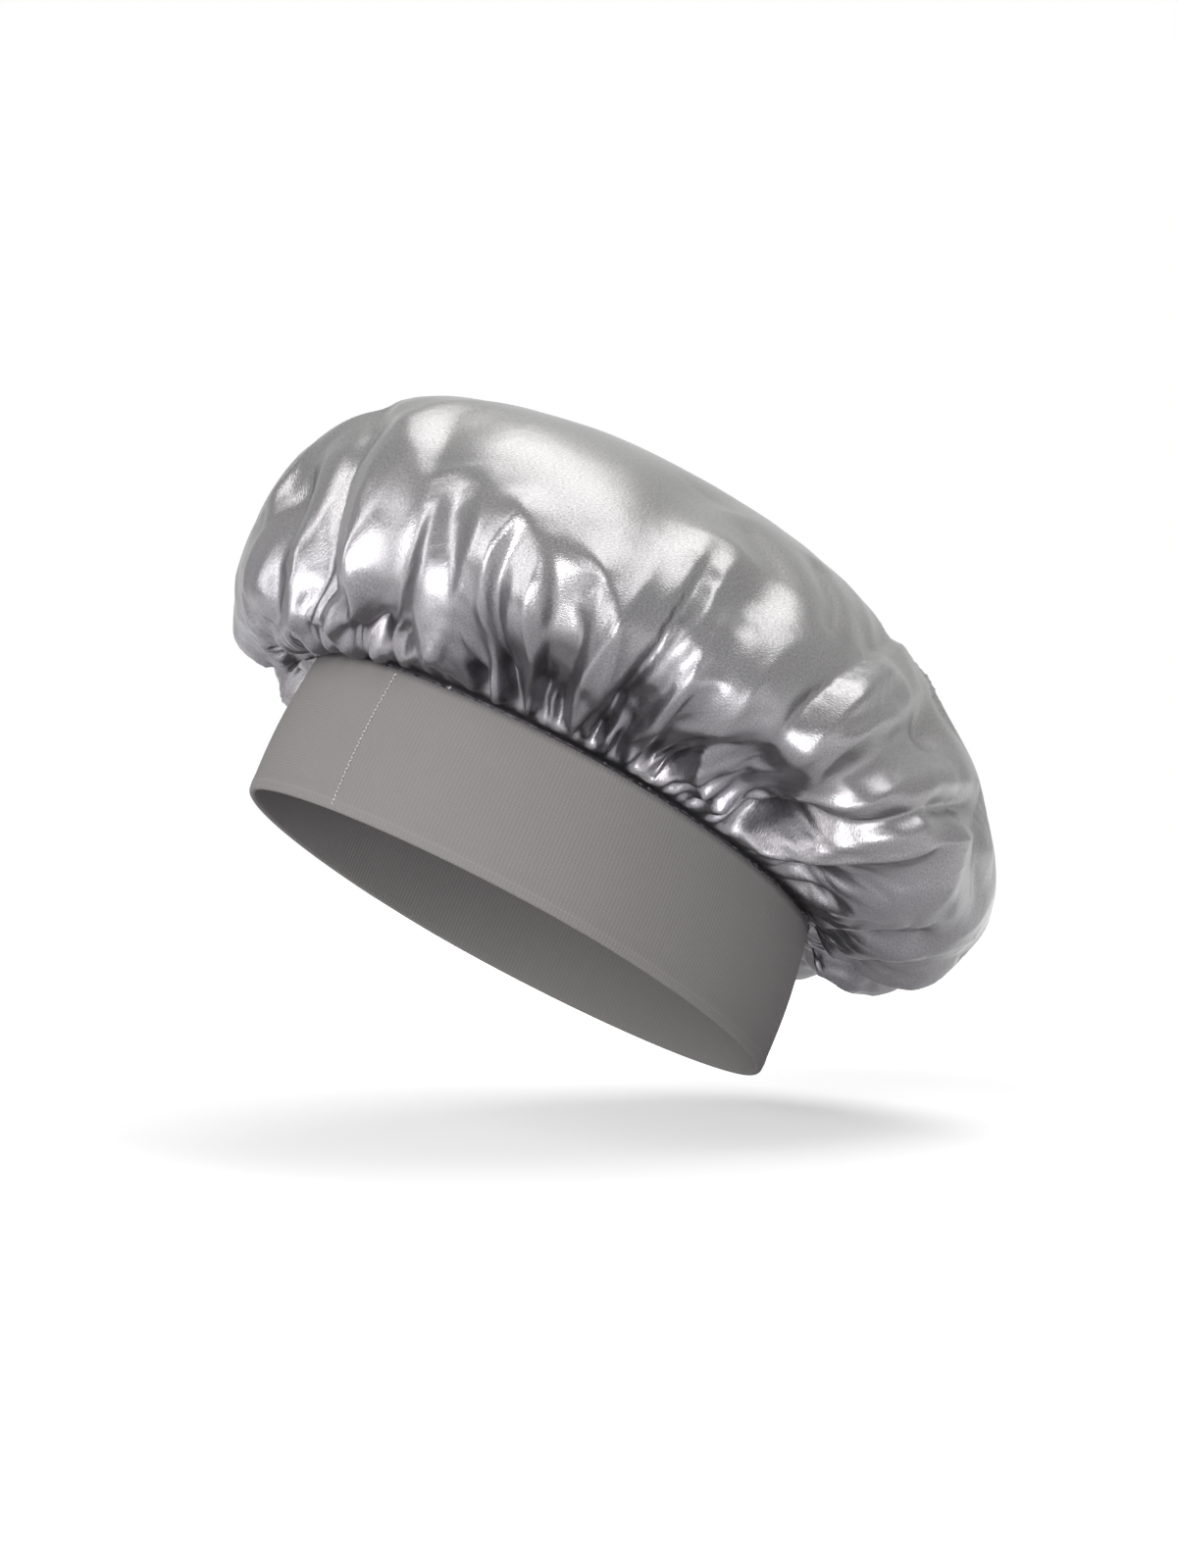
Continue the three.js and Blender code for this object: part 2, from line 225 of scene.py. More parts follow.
# %% [markdown]
# ## Lamps and floor
# Four soft lamps light the satin: a key from the upper left, a wide top lamp, a wide one over the
# camera and a low strip just above the floor. Satin shows its folds by what it mirrors, so a few
# large lamps suit it better than many small ones. The floor is level in the photograph, so it leans
# in the bonnet's own frame. It is white by its own glow and darkens only where the bonnet's shadow
# falls.

# %% Lamps
LAMP_TARGET_UP = 0.08
LAMPS = dict(
    key_lamp=((-1.0, 0.6, 0.6), (0.6, 1.0), 8.4),
    top_lamp=((0.4, 1.25, -0.05), (1.6, 0.7), 12.3),
    front_lamp=((-0.15, 0.15, 1.25), (0.9, 0.35), 7.9),
    low_lamp=((-0.35, -0.03, 1.0), (0.7, 0.12), 4.4),
)


def add_lamp(name, place, size, watts):
    """A soft rectangle. Its place is right, up and towards the camera from the crown's middle."""
    lamp = bpy.data.lights.new(name, "AREA")
    lamp.shape = "RECTANGLE"
    lamp.size, lamp.size_y = size
    lamp.energy = watts
    target = Vector(HEAD_MIDDLE + photo_up * LAMP_TARGET_UP)
    right, up, near = place
    spot = target + Vector(photo_right * right + photo_up * up + to_camera * near)
    turn = (target - spot).to_track_quat("-Z", "Y").to_matrix().to_4x4()
    turn.translation = spot
    add_object(name, lamp, turn)


bpy.context.scene.view_settings.view_transform = "Standard"
for name, (place, size, watts) in LAMPS.items():
    add_lamp(name, place, size, watts)
print("Lamps:", *LAMPS)

# %% Floor with the bonnet's shadow
FLOOR_BELOW = 0.0675
FLOOR_LEAN = math.radians(4)
FLOOR_SIZE = 1.4
FLOOR_COLOR = (0.8, 0.8, 0.8, 1)
FLOOR_GLOW = 0.42
FLOOR_SHADOW_REACH = (0.22, 0.45)


def floor_material(middle):
    """Pale, with a glow that rises to plain white away from the shadow. Its back side is clear, so
    that a camera under the floor sees the bonnet."""
    material = bpy.data.materials.new("studio_floor")
    tree = empty_tree(material)
    place = put(tree, "TexCoord", {}).outputs["Object"]
    away = put(tree, "VectorMath", {0: place, 1: tuple(middle)}, operation="DISTANCE")
    start, end = FLOOR_SHADOW_REACH
    glow = put(tree, "MapRange", {
        "Value": away.outputs["Value"], "From Min": start, "From Max": end,
        "To Min": FLOOR_GLOW, "To Max": 1}, interpolation_type="SMOOTHSTEP").outputs["Result"]
    strength = calculate(tree, "MULTIPLY", glow, seen_rays(tree))
    light = put(tree, "Emission", {"Strength": strength}).outputs[0]
    paint = put(tree, "BsdfDiffuse", {"Color": FLOOR_COLOR}).outputs[0]
    both = put(tree, "AddShader", {0: paint, 1: light}).outputs[0]
    back = put(tree, "NewGeometry", {}).outputs["Backfacing"]
    clear = put(tree, "BsdfTransparent", {}).outputs[0]
    choose = put(tree, "MixShader", {0: back, 1: both, 2: clear}).outputs[0]
    put(tree, "OutputMaterial", {"Surface": choose})
    return material


def add_floor():
    """One quad, level in the photograph."""
    up = photo_up * math.cos(FLOOR_LEAN) + to_camera * math.sin(FLOOR_LEAN)
    across = photo_right - up * (photo_right @ up)
    across = across / np.linalg.norm(across)
    along = np.cross(up, across)
    middle = HEAD_MIDDLE - photo_up * FLOOR_BELOW
    signs = ((-1, -1), (1, -1), (1, 1), (-1, 1))
    corners = [middle + FLOOR_SIZE * (across * a + along * b) for a, b in signs]
    mesh = bpy.data.meshes.new("studio_floor")
    mesh.from_pydata([tuple(corner) for corner in corners], [], [(0, 1, 2, 3)])
    mesh.materials.append(floor_material(middle))
    add_object("studio_floor", mesh)
    return middle


print("Floor under", add_floor().round(3))

# %% [markdown]
# ## The band's oval
# In plan the band is a superellipse. Every surface below starts from it, as a function of the
# angle round the head and a height. Angle 0 is the back of the head, and 180 degrees its front.

# %% Places on the band
def on_band(angle, height, inset):
    """A point on the band's outer face, moved into the wall by inset.
    x = a sgn(cos) |cos|^(2/n) and y = b sgn(sin) |sin|^(2/n). a and b shrink from the lower edge
    to the upper one, and between the edges the wall bulges by a sine curve."""
    share = np.minimum(height / BAND_HEIGHT, 1)
    bulge = BAND_BULGE * np.sin(np.pi * share)
    a = BAND_LOW["half_length"] + (BAND_TOP["half_length"] - BAND_LOW["half_length"]) * share + bulge
    b = BAND_LOW["half_width"] + (BAND_TOP["half_width"] - BAND_LOW["half_width"]) * share + bulge
    power = 2 / OVAL_EXPONENT
    c, s = np.cos(angle), np.sin(angle)
    x = a * np.sign(c) * np.abs(c) ** power
    y = b * np.sign(s) * np.abs(s) ** power
    out_x = np.sign(x) * np.abs(x / a) ** (OVAL_EXPONENT - 1) / a
    out_y = np.sign(y) * np.abs(y / b) ** (OVAL_EXPONENT - 1) / b
    size = np.hypot(out_x, out_y)
    out = np.stack([out_x / size, out_y / size, np.zeros_like(size)], -1)
    point = np.stack([x - BAND_TOP_FORWARD * share, y, np.broadcast_to(height, x.shape)], -1)
    return HEAD_MIDDLE + point - out * np.asarray(inset)[..., None], out


edge_angles = np.linspace(0, 2 * np.pi, 361)
lower_edge = on_band(edge_angles, np.zeros_like(edge_angles), 0.0)[0]
print("Round the lower edge:", np.linalg.norm(np.diff(lower_edge, axis=0), axis=1).sum().round(3), "m")

# %% [markdown]
# ## The crown before it is folded
# Seen from the side, the satin leaves the band's upper edge, rolls out and down in a lip, turns up
# at the waist and closes over the head in a dome. A meridian is a Bezier curve and a quarter of a
# superellipse. All meridians go into one table with equal steps along the cloth, so a place on the
# crown is an angle and a share of the way from the seam, 0, to the apex, 1.

# %% The smooth crown as a table of meridians
TABLE_ANGLES = 360
TABLE_SHARES = 200
LIP_STEPS = 80
DOME_STEPS = 200
WAIST_PASSES = 50


def around(angle, sizes):
    """Mixes a front or back value with a near or far one, by the squared cosine of the angle."""
    end = np.where(np.cos(angle) < 0, sizes["front"], sizes["back"])
    side = np.where(np.sin(angle) < 0, sizes["near"], sizes["far"])
    return side + (end - side) * np.cos(angle) ** 2


def soften(values, passes=4):
    """Each inner value moves to the mean of itself and its two neighbours, once in every pass."""
    for _ in range(passes):
        values[1:-1] = (values[:-2] + values[1:-1] + values[2:]) / 3
    return values


def meridians():
    """The lip is a cubic Bezier curve from the seam to the waist, and the dome follows
    out = cos(t)^(2/n), up = sin(t)^(2/n) from the waist to the apex. Where they meet, the edge
    is softened."""
    angle = np.linspace(0, 2 * np.pi, TABLE_ANGLES, endpoint=False)
    start = on_band(angle, np.full_like(angle, BAND_HEIGHT), -CROWN_START_OUT)[0] - HEAD_MIDDLE
    start[:, 2] += CROWN_LIFT_OUTSIDE
    front = BAND_TOP["half_length"] + BAND_TOP_FORWARD + CROWN_OVERHANG["front"]
    back = BAND_TOP["half_length"] - BAND_TOP_FORWARD + CROWN_OVERHANG["back"]
    side = BAND_TOP["half_width"] + CROWN_OVERHANG["side"]
    length = front + (back - front) * (1 + np.cos(angle)) / 2
    height = BAND_HEIGHT + around(angle, CROWN_WAIST)
    waist = np.stack([length * np.cos(angle), side * np.sin(angle), height], -1)
    low = start + (waist - start) * around(angle, LIP_REACH)[:, None]
    low[:, 2] = BAND_HEIGHT + around(angle, LIP_LOW)
    turn = waist.copy()
    turn[:, 2] = BAND_HEIGHT + around(angle, LIP_TURN)
    t = np.linspace(0, 1, LIP_STEPS)[None, :, None]
    start, low, turn, edge = (point[:, None, :] for point in (start, low, turn, waist))
    lip = start * (1 - t) ** 3 + 3 * low * t * (1 - t) ** 2 + 3 * turn * t * t * (1 - t) + edge * t ** 3
    q = np.linspace(0, np.pi / 2, DOME_STEPS)[None, 1:]
    power = (2 / around(angle, CROWN_ROUNDNESS))[:, None]
    out, up = np.cos(q) ** power, np.sin(q) ** power
    out[:, -1] = 0
    x = waist[:, None, 0] * out - CROWN_APEX_FORWARD * up
    y = waist[:, None, 1] * out
    z = height[:, None] + (BAND_HEIGHT + CROWN_RISE - height[:, None]) * up
    curve = np.concatenate([lip, np.stack([x, y, z], -1)], 1) + HEAD_MIDDLE
    step = np.linalg.norm(np.diff(curve, axis=1), axis=-1)
    arc = np.concatenate([np.zeros((TABLE_ANGLES, 1)), np.cumsum(step, 1)], 1)
    share = np.linspace(0, 1, TABLE_SHARES)
    even = [[np.interp(share, a / a[-1], line[:, k]) for k in range(3)] for a, line in zip(arc, curve)]
    return soften(np.array(even).transpose(2, 0, 1), WAIST_PASSES).transpose(1, 0, 2), arc[:, -1]


crown_table, meridian_lengths = meridians()
print("From seam to apex:", meridian_lengths.min().round(3), "to", meridian_lengths.max().round(3), "m")

# %% Places and normals on the smooth crown
SLOPE_ANGLE = 0.02
SLOPE_SHARE = 0.004
NEAR_APEX = 0.985


def on_crown(angle, share):
    """The smooth crown at an angle and a share of the way to the apex, between four table points."""
    a = (angle / (2 * np.pi)) % 1 * TABLE_ANGLES
    i = np.floor(a).astype(int)
    right = (a - i)[..., None]
    b = np.clip(share, 0, 1) * (TABLE_SHARES - 1)
    j = np.minimum(np.floor(b).astype(int), TABLE_SHARES - 2)
    over = (b - j)[..., None]
    i, beside = i % TABLE_ANGLES, (i + 1) % TABLE_ANGLES
    below = crown_table[i, j] * (1 - right) + crown_table[beside, j] * right
    above = crown_table[i, j + 1] * (1 - right) + crown_table[beside, j + 1] * right
    return below * (1 - over) + above * over


def crown_normals(angle, share):
    """The cross product of the surface's two slopes, with the apex looking up."""
    over, under = np.minimum(share + SLOPE_SHARE, 1), np.maximum(share - SLOPE_SHARE, 0)
    up = on_crown(angle, over) - on_crown(angle, under)
    round_ = on_crown(angle + SLOPE_ANGLE, share) - on_crown(angle - SLOPE_ANGLE, share)
    normal = np.cross(round_, up)
    size = np.linalg.norm(normal, axis=-1, keepdims=True)
    normal = normal / np.maximum(size, 1e-12)
    return np.where((share > NEAR_APEX)[..., None], [0.0, 0.0, 1.0], normal)


print("Top of the crown:", on_crown(np.zeros(1), np.ones(1))[0].round(4))

# %% [markdown]
# ## Folds
# Satin folds are long, sharp at the seam and soft at their far ends. They could be left to a
# simulation, but then they would lie anywhere. Here each fold of the near side is a short line of
# pixels that was read from the photograph. A line is laid on the smooth crown where the
# camera sees it, and it moves the cloth near it: a crease is a sharp valley between two low rims,
# a ridge has a crest, and a valley is round. Most lines start at the band, where they are deepest,
# and fade towards their ends.

# %% Folds seen in the photograph
# Each has its kind, its height and half width in mm, the share of the height at its start and at
# its end, and then a column and a row of pixels for each corner of the line.
SEEN_FOLDS = (
    ("crease", 4.0, 8, 1.0, 0.8, (318, 599, 321, 539, 335, 502, 345, 478, 371, 445, 396, 412)),
    ("crease", 5.5, 9, 1.0, 0.3, (378, 668, 392, 648, 403, 599, 425, 536, 437, 487, 456, 437)),
    ("crease", 3.5, 7, 0.8, 0.6, (322, 676, 282, 660, 265, 612, 273, 547, 294, 496)),
    ("crease", 3.0, 5, 1.0, 0.3, (324, 665, 310, 640, 300, 618, 305, 590, 311, 556)),
    ("valley", 2.0, 6, 0.5, 0.8, (316, 668, 298, 650, 284, 622, 277, 588)),
    ("crease", 2.5, 4, 1.0, 0.3, (332, 664, 329, 640, 327, 610, 330, 580)),
    ("crease", 2.5, 4, 1.0, 0.3, (346, 667, 350, 645, 351, 625, 345, 602)),
    ("crease", 2.5, 4, 1.0, 0.3, (367, 669, 376, 645, 380, 622, 376, 600)),
    ("crease", 2.5, 5, 1.0, 0.6, (312, 700, 282, 685, 251, 662)),
    ("crease", 2.5, 5, 1.0, 0.5, (320, 684, 296, 674, 270, 655, 252, 628)),
    ("crease", 2.0, 4, 1.0, 0.5, (302, 712, 280, 705, 262, 692)),
    ("ridge", 3.0, 9, 0.6, 0.6, (480, 700, 450, 672, 430, 640, 424, 600, 432, 560, 444, 515)),
    ("valley", 3.5, 6, 1.0, 0.7, (494, 705, 482, 668, 468, 632, 462, 590, 460, 548, 458, 516)),
    ("ridge", 3.5, 3, 1.0, 0.4, (520, 728, 505, 691, 494, 651, 491, 620, 494, 589, 507, 560, 526, 536)),
    ("crease", 6.0, 5, 1.0, 0.3, (529, 728, 513, 690, 505, 650, 502, 615, 508, 582, 522, 556)),
    ("ridge", 2.5, 7, 0.6, 0.5, (542, 722, 545, 690, 547, 650, 554, 612, 556, 575, 540, 542)),
    ("crease", 4.5, 6, 1.0, 0.4, (556, 742, 553, 704, 553, 678, 558, 651, 565, 615, 568, 588)),
    ("crease", 3.0, 5, 1.0, 0.5, (568, 738, 576, 700, 588, 670, 594, 645, 588, 620, 592, 602)),
    ("ridge", 3.0, 8, 0.7, 0.6, (582, 728, 608, 705, 624, 680, 632, 650, 627, 615, 608, 584)),
    ("ridge", 4.0, 5, 0.8, 0.4, (598, 745, 616, 720, 640, 690, 664, 655, 690, 612, 712, 568)),
    ("crease", 8.0, 6, 1.0, 0.3, (606, 756, 626, 720, 644, 696, 664, 670, 682, 644, 700, 614, 718, 586)),
    ("ridge", 3.5, 6, 0.9, 0.4, (616, 762, 632, 730, 660, 696, 696, 652, 730, 606, 744, 578)),
    ("crease", 4.0, 5, 1.0, 0.4, (622, 772, 641, 740, 660, 716, 686, 690)),
    ("ridge", 3.5, 4, 1.0, 0.8, (630, 778, 650, 758, 676, 737, 697, 710)),
    ("crease", 3.0, 5, 1.0, 0.5, (640, 790, 668, 760, 690, 735, 704, 712)),
    ("valley", 2.5, 10, 0.5, 0.5, (702, 732, 718, 695, 742, 650, 768, 606)),
    ("valley", 2.0, 9, 0.4, 0.8, (655, 650, 662, 605, 670, 565, 684, 530, 704, 506, 722, 500)),
    ("valley", 2.0, 7, 0.6, 0.4, (767, 618, 784, 595, 780, 568, 764, 541)),
    ("crease", 2.0, 4, 0.5, 0.5, (851, 634, 846, 607, 833, 580)),
    ("crease", 5.0, 8, 0.8, 0.8, (748, 806, 775, 786, 800, 752, 836, 712, 862, 688, 890, 664, 912, 646)),
    ("ridge", 4.5, 9, 0.6, 0.6, (720, 816, 770, 799, 815, 781, 850, 761, 888, 743, 922, 722, 944, 696)),
    ("ridge", 2.5, 5, 0.6, 0.6, (834, 768, 846, 748, 874, 714, 904, 690)),
    ("valley", 2.5, 5, 0.6, 0.6, (845, 764, 866, 742, 890, 728, 914, 709)),
    ("crease", 3.2, 6, 1.0, 0.5, (652, 797, 695, 780, 728, 769, 764, 775)),
    ("valley", 4.5, 9, 1.0, 0.9, (738, 846, 779, 832, 823, 802, 874, 784, 927, 770, 955, 742)),
    ("crease", 5.0, 5, 1.0, 0.8, (745, 847, 823, 845, 864, 848, 904, 842, 942, 827, 984, 818)),
    ("ridge", 3.5, 6, 0.8, 0.8, (752, 855, 800, 860, 850, 859, 898, 852, 940, 838)),
    ("valley", 3.0, 9, 0.8, 0.8, (800, 890, 839, 892, 889, 891, 951, 884)),
    ("ridge", 2.5, 12, 0.6, 0.9, (850, 925, 889, 920, 930, 905, 960, 900)),
    ("crease", 3.0, 5, 1.0, 0.5, (776, 888, 800, 899, 822, 907, 849, 917)),
    ("crease", 4.0, 6, 1.0, 0.5, (824, 936, 851, 953, 889, 959, 938, 958)),
    ("crease", 4.5, 6, 1.0, 0.5, (826, 942, 844, 973, 868, 993, 901, 1008)),
    ("crease", 2.5, 5, 0.7, 0.5, (850, 978, 889, 987, 938, 986, 988, 973)),
    ("crease", 2.5, 6, 0.5, 0.8, (1000, 914, 997, 870, 998, 835, 996, 802)),
    ("ridge", 2.6, 16, 0.5, 0.8, (430, 520, 424, 470, 412, 430, 404, 404)),
    ("valley", 4.0, 14, 0.5, 0.8, (296, 560, 296, 525, 292, 492)),
    ("ridge", 3.0, 13, 0.6, 0.8, (872, 700, 896, 680, 916, 662)),
    ("valley", 3.0, 12, 0.6, 1.0, (915, 740, 935, 715, 950, 700)),
    ("ridge", 2.0, 13, 0.6, 0.8, (930, 808, 970, 800, 1002, 800)),
)
# The short gathers at the seam are creases that differ in height and place alone.
GATHER_WIDTH = 3
GATHER_FADE = (1.0, 0.3)
SEEN_GATHERS = (
    (2.2, 402, 682, 408, 662, 412, 646),
    (2.2, 425, 692, 424, 672, 418, 655),
    (2.6, 452, 703, 446, 684, 436, 668),
    (2.2, 474, 714, 462, 694, 452, 682),
    (2.6, 512, 730, 498, 706, 490, 690),
    (2.6, 541, 743, 535, 722, 530, 700),
    (2.6, 549, 747, 551, 728, 549, 706),
    (2.6, 563, 754, 567, 735, 572, 716),
    (2.6, 578, 761, 590, 742, 602, 728),
    (2.6, 590, 767, 606, 749, 618, 738),
    (2.6, 634, 790, 662, 780, 690, 766),
    (2.6, 668, 808, 700, 800, 728, 796),
    (2.6, 690, 822, 716, 816, 742, 812),
    (2.6, 708, 834, 736, 832, 760, 824),
    (2.6, 752, 868, 772, 868, 796, 872),
    (2.6, 796, 904, 818, 918, 842, 928),
)
print(len(SEEN_FOLDS), "folds and", len(SEEN_GATHERS), "gathers in the photograph")

# %% Laying the lines on the crown
LINE_STEPS = 24
RUN_ON = 6
END_STEPS = 4
WIDEN = 1.3
OUTLINE_WIDTH = 12.5
MOST_PIXELS_OFF = 12


def smooth_line(corners):
    """A Catmull-Rom curve through the corners: every piece is a cubic whose end slopes are half the
    step between the two neighbours."""
    p = np.array([corners[0], *corners, corners[-1]], float)
    t = np.linspace(0, len(corners) - 1, LINE_STEPS)
    i = np.minimum(t.astype(int), len(corners) - 2)
    f = (t - i)[:, None]
    a, b, c, d = p[i], p[i + 1], p[i + 2], p[i + 3]
    bend = (2 * a - 5 * b + 4 * c - d) * f ** 2 + (3 * b - 3 * c + d - a) * f ** 3
    return 0.5 * (2 * b + (c - a) * f + bend)


def seen_places(pixel_line):
    """The angle and share of the nearest point of the smooth crown that faces the camera."""
    angle = np.linspace(0, 2 * np.pi, TABLE_ANGLES, endpoint=False)
    angle, share = np.meshgrid(angle, np.linspace(0, 1, TABLE_SHARES), indexing="ij")
    points = on_crown(angle, share).reshape(-1, 3)
    normals = crown_normals(angle, share).reshape(-1, 3)
    facing = np.einsum("ij,ij->i", normals, camera_place - points) > 0
    where = pixels_of(points[facing])
    gap = np.linalg.norm(pixel_line[:, None] - where[None], axis=-1)
    near = gap.argmin(1)
    return angle.ravel()[facing][near], share.ravel()[facing][near], gap.min(1)


def run_on(places):
    """Continues a line straight past its last place, by RUN_ON steps that are no longer than the
    line's mean step."""
    step = (places[-1] - places[-1 - END_STEPS]) / END_STEPS
    mean = np.linalg.norm(np.diff(places, axis=0), axis=1).mean()
    step = step * min(1, mean / np.linalg.norm(step))
    return np.concatenate([places, places[-1] + step * np.arange(1, RUN_ON + 1)[:, None]])


def near_folds():
    """Lays every pixel line on the crown and turns its sizes into metres. Each comes with a yes or
    no: whether it fades where the crown turns away from the camera."""
    gathers = [("crease", height, GATHER_WIDTH, *GATHER_FADE, line) for height, *line in SEEN_GATHERS]
    lines = []
    for kind, height, width, begin, end, pixels in (*SEEN_FOLDS, *gathers):
        angle, share, gap = seen_places(smooth_line(np.reshape(pixels, (-1, 2))))
        places = run_on(soften(on_crown(angle, share)))
        line = (kind, height / 1000, WIDEN * width / 1000, (begin, end), places)
        lines.append((line, width < OUTLINE_WIDTH))
        if gap.max() > MOST_PIXELS_OFF:
            print("A line at", pixels[:2], "is", round(float(gap.max())), "pixels off the crown")
    return lines


near_lines = near_folds()
print(len(near_lines), "lines laid on the near side")

# %% [markdown]
# ## Folds of the side that isn't seen
# The far side has the solid's long creases, and between them short ones at evenly spaced angles
# with a random shift, each with its own length and drift. The random numbers have a fixed seed, so
# every run makes the same bonnet.

# %% Folds of the far side
FAR_SEED = 7
FAR_START = 0.004
FAR_FADE = (1.0, 0.3)
FAR_MAIN_FOLDS = (
    (-9, -4), (12, 20), (34, 26), (52, 60), (74, 70), (92, 100), (112, 106), (128, 134), (148, 142),
)
FAR_MAIN_REACH = 0.5
FAR_MAIN_BEND = 3
FAR_MAIN_DEPTH = 0.0045
FAR_MAIN_WIDTH = 0.0110
FAR_SHORT_FOLDS = 33
FAR_SHORT_RANGE = (-14, 176)
FAR_SHORT_SHIFT = (0.1, 0.9)
FAR_SHORT_REACHES = (0.12, 0.2, 0.3)
FAR_SHORT_ODDS = (0.4, 0.35, 0.25)
FAR_SHORT_STRETCH = (0.85, 1.15)
FAR_SHORT_DRIFT = 14
FAR_SHORT_BEND = 5
# A short fold's depth and width are the first number plus the second times its reach.
FAR_SHORT_DEPTH = (0.0015, 0.007)
FAR_SHORT_WIDTH = (0.005, 0.010)


def far_fold(start, end, reach, bend, depth, width):
    """A crease from the seam to a share of the way up, from one angle to another with a sine bend."""
    t = np.linspace(0, 1, LINE_STEPS + RUN_ON)
    angle = start + (end - start) * t + bend * np.sin(np.pi * t)
    line = ("crease", depth, width, FAR_FADE, on_crown(angle, FAR_START + (reach - FAR_START) * t))
    return line, False


def random_angle(rng, most):
    """An angle of at most so many degrees to either side."""
    return math.radians(rng.uniform(-most, most))


def far_folds(rng):
    """First the long creases, each between its two angles, and then the short ones."""
    lines = []
    for start, end in FAR_MAIN_FOLDS:
        bend = random_angle(rng, FAR_MAIN_BEND)
        start, end = math.radians(start), math.radians(end)
        lines.append(far_fold(start, end, FAR_MAIN_REACH, bend, FAR_MAIN_DEPTH, FAR_MAIN_WIDTH))
    first, last = FAR_SHORT_RANGE
    for k in range(FAR_SHORT_FOLDS):
        start = math.radians(first + (last - first) * (k + rng.uniform(*FAR_SHORT_SHIFT)) / FAR_SHORT_FOLDS)
        reach = rng.choice(FAR_SHORT_REACHES, p=FAR_SHORT_ODDS) * rng.uniform(*FAR_SHORT_STRETCH)
        end = start + random_angle(rng, FAR_SHORT_DRIFT) * reach * 2
        bend = random_angle(rng, FAR_SHORT_BEND)
        depth, width = (a + b * reach for a, b in (FAR_SHORT_DEPTH, FAR_SHORT_WIDTH))
        lines.append(far_fold(start, end, reach, bend, depth, width))
    return lines


fold_lines = near_lines + far_folds(np.random.default_rng(FAR_SEED))
print(len(fold_lines), "folds")

# %% [markdown]
# ## The disc of satin
# The crown is cut as one flat disc. A net of spokes and rings would crowd at the middle, so its grid
# is a square net that is bent into a disc: the corner squares stay almost square, and there is no
# pole at the apex. Each point knows its place on the flat cloth, which is its UV map, so that the
# weave follows the cloth into every fold.

# %% Grid of the disc
SEAM_RING = 62
DISC_RINGS = 64
COARSE_SIDE = 2 * DISC_RINGS + 1


def disc_places():
    """Point (i, j) of a square net goes to ring k = max(|i|, |j|), at an angle that runs evenly along
    the four sides of its square. Ring SEAM_RING is the seam, and the rings outside it the allowance."""
    i, j = np.meshgrid(*[np.arange(-DISC_RINGS, DISC_RINGS + 1)] * 2, indexing="ij")
    k = np.maximum(abs(i), abs(j))
    ring = np.where(k == 0, 1, k)
    quarter = np.pi / 4
    angle = np.where(i == k, j / ring * quarter, np.pi - j / ring * quarter)
    angle = np.where((j == k) & (i < k), np.pi / 2 - i / ring * quarter, angle)
    angle = np.where((j == -k) & (abs(i) < k), 3 * np.pi / 2 + i / ring * quarter, angle)
    angle = np.where(k == 0, 0, angle) % (2 * np.pi)
    inside = np.minimum(k, SEAM_RING) / SEAM_RING * DISC_RADIUS
    outside = np.maximum(k - SEAM_RING, 0) / (DISC_RINGS - SEAM_RING) * CROWN_ALLOWANCE
    return (inside + outside).ravel(), angle.ravel()


def net_faces(side):
    """The four corners of every square of a net with so many points along each side."""
    index = np.arange(side * side).reshape(side, side)
    corners = (index[:-1, :-1], index[1:, :-1], index[1:, 1:], index[:-1, 1:])
    return np.stack(corners, -1).reshape(-1, 4)


def make_piece(name, points, faces, uv=None):
    """A mesh object at the origin from arrays of points and faces, with an optional UV per point."""
    mesh = bpy.data.meshes.new(name)
    mesh.from_pydata(points.tolist(), [], faces.tolist())
    mesh.polygons.foreach_set("use_smooth", np.ones(len(mesh.polygons), bool))
    if uv is not None:
        layer = mesh.uv_layers.new(name="cloth")
        corner = np.empty(len(mesh.loops), int)
        mesh.loops.foreach_get("vertex_index", corner)
        layer.data.foreach_set("uv", uv[corner].astype(np.float32).ravel())
    mesh.update()
    return add_object(name, mesh)


flat_radius, disc_angle = disc_places()
flat_places = np.stack([flat_radius * np.cos(disc_angle), flat_radius * np.sin(disc_angle)], -1)
print("Flat disc:", len(flat_places), "points")

# %% [markdown]
# ## From the smooth crown to the folded one
# A gathered seam is a row of small crests that are pushed together. They follow no plan on the real
# cloth, so they are waves with random phases. The folds come over them, with an even puff, and all
# of them move the cloth along its normal, so that one grid stays whole.

# %% Gathers at the seam
# Each set of pleats has its number round the head, its height and its reach up the crown.
PLEATS = (
    (71, 0.0009, 0.03),
    (113, 0.0005, 0.015),
    (53, 0.0008, 0.06),
    (37, 0.0004, 0.12),
    (23, 0.0003, 0.2),
)
PLEAT_SEED = 11
PLEAT_WANDER = (2.2, 1.4)
PLEAT_DRIFT = 6
PLEAT_SWELL = 0.6
PLEAT_ROUNDING = 0.01


def pleats(angle, share, rng):
    """Gathers that run out of the seam. Across them they are crests, 1 - 2 |sin(x/2)|, with wandering
    phases, and along them they rise and fade as (share/reach) exp(1 - share/reach)."""

    def wave(turns):
        """A sine that runs so many times round the head from a random start."""
        return np.sin(turns * angle + rng.uniform(0, 6))

    total = np.zeros_like(angle)
    for count, height, reach in PLEATS:
        phase = rng.uniform(0, 2 * np.pi)
        wander = PLEAT_WANDER[0] * wave(3) + PLEAT_WANDER[1] * wave(7)
        drift = rng.uniform(-PLEAT_DRIFT, PLEAT_DRIFT) * share * wave(4)
        fade = share / reach * np.exp(1 - share / reach)
        swell = 1 + PLEAT_SWELL * wave(5)
        turn = np.sin((count * angle + phase + wander + drift) / 2)
        total += height * swell * fade * (1 - 2 * np.sqrt(turn ** 2 + PLEAT_ROUNDING))
    return total


print("Gathers round the head:", sum(count for count, _, _ in PLEATS))

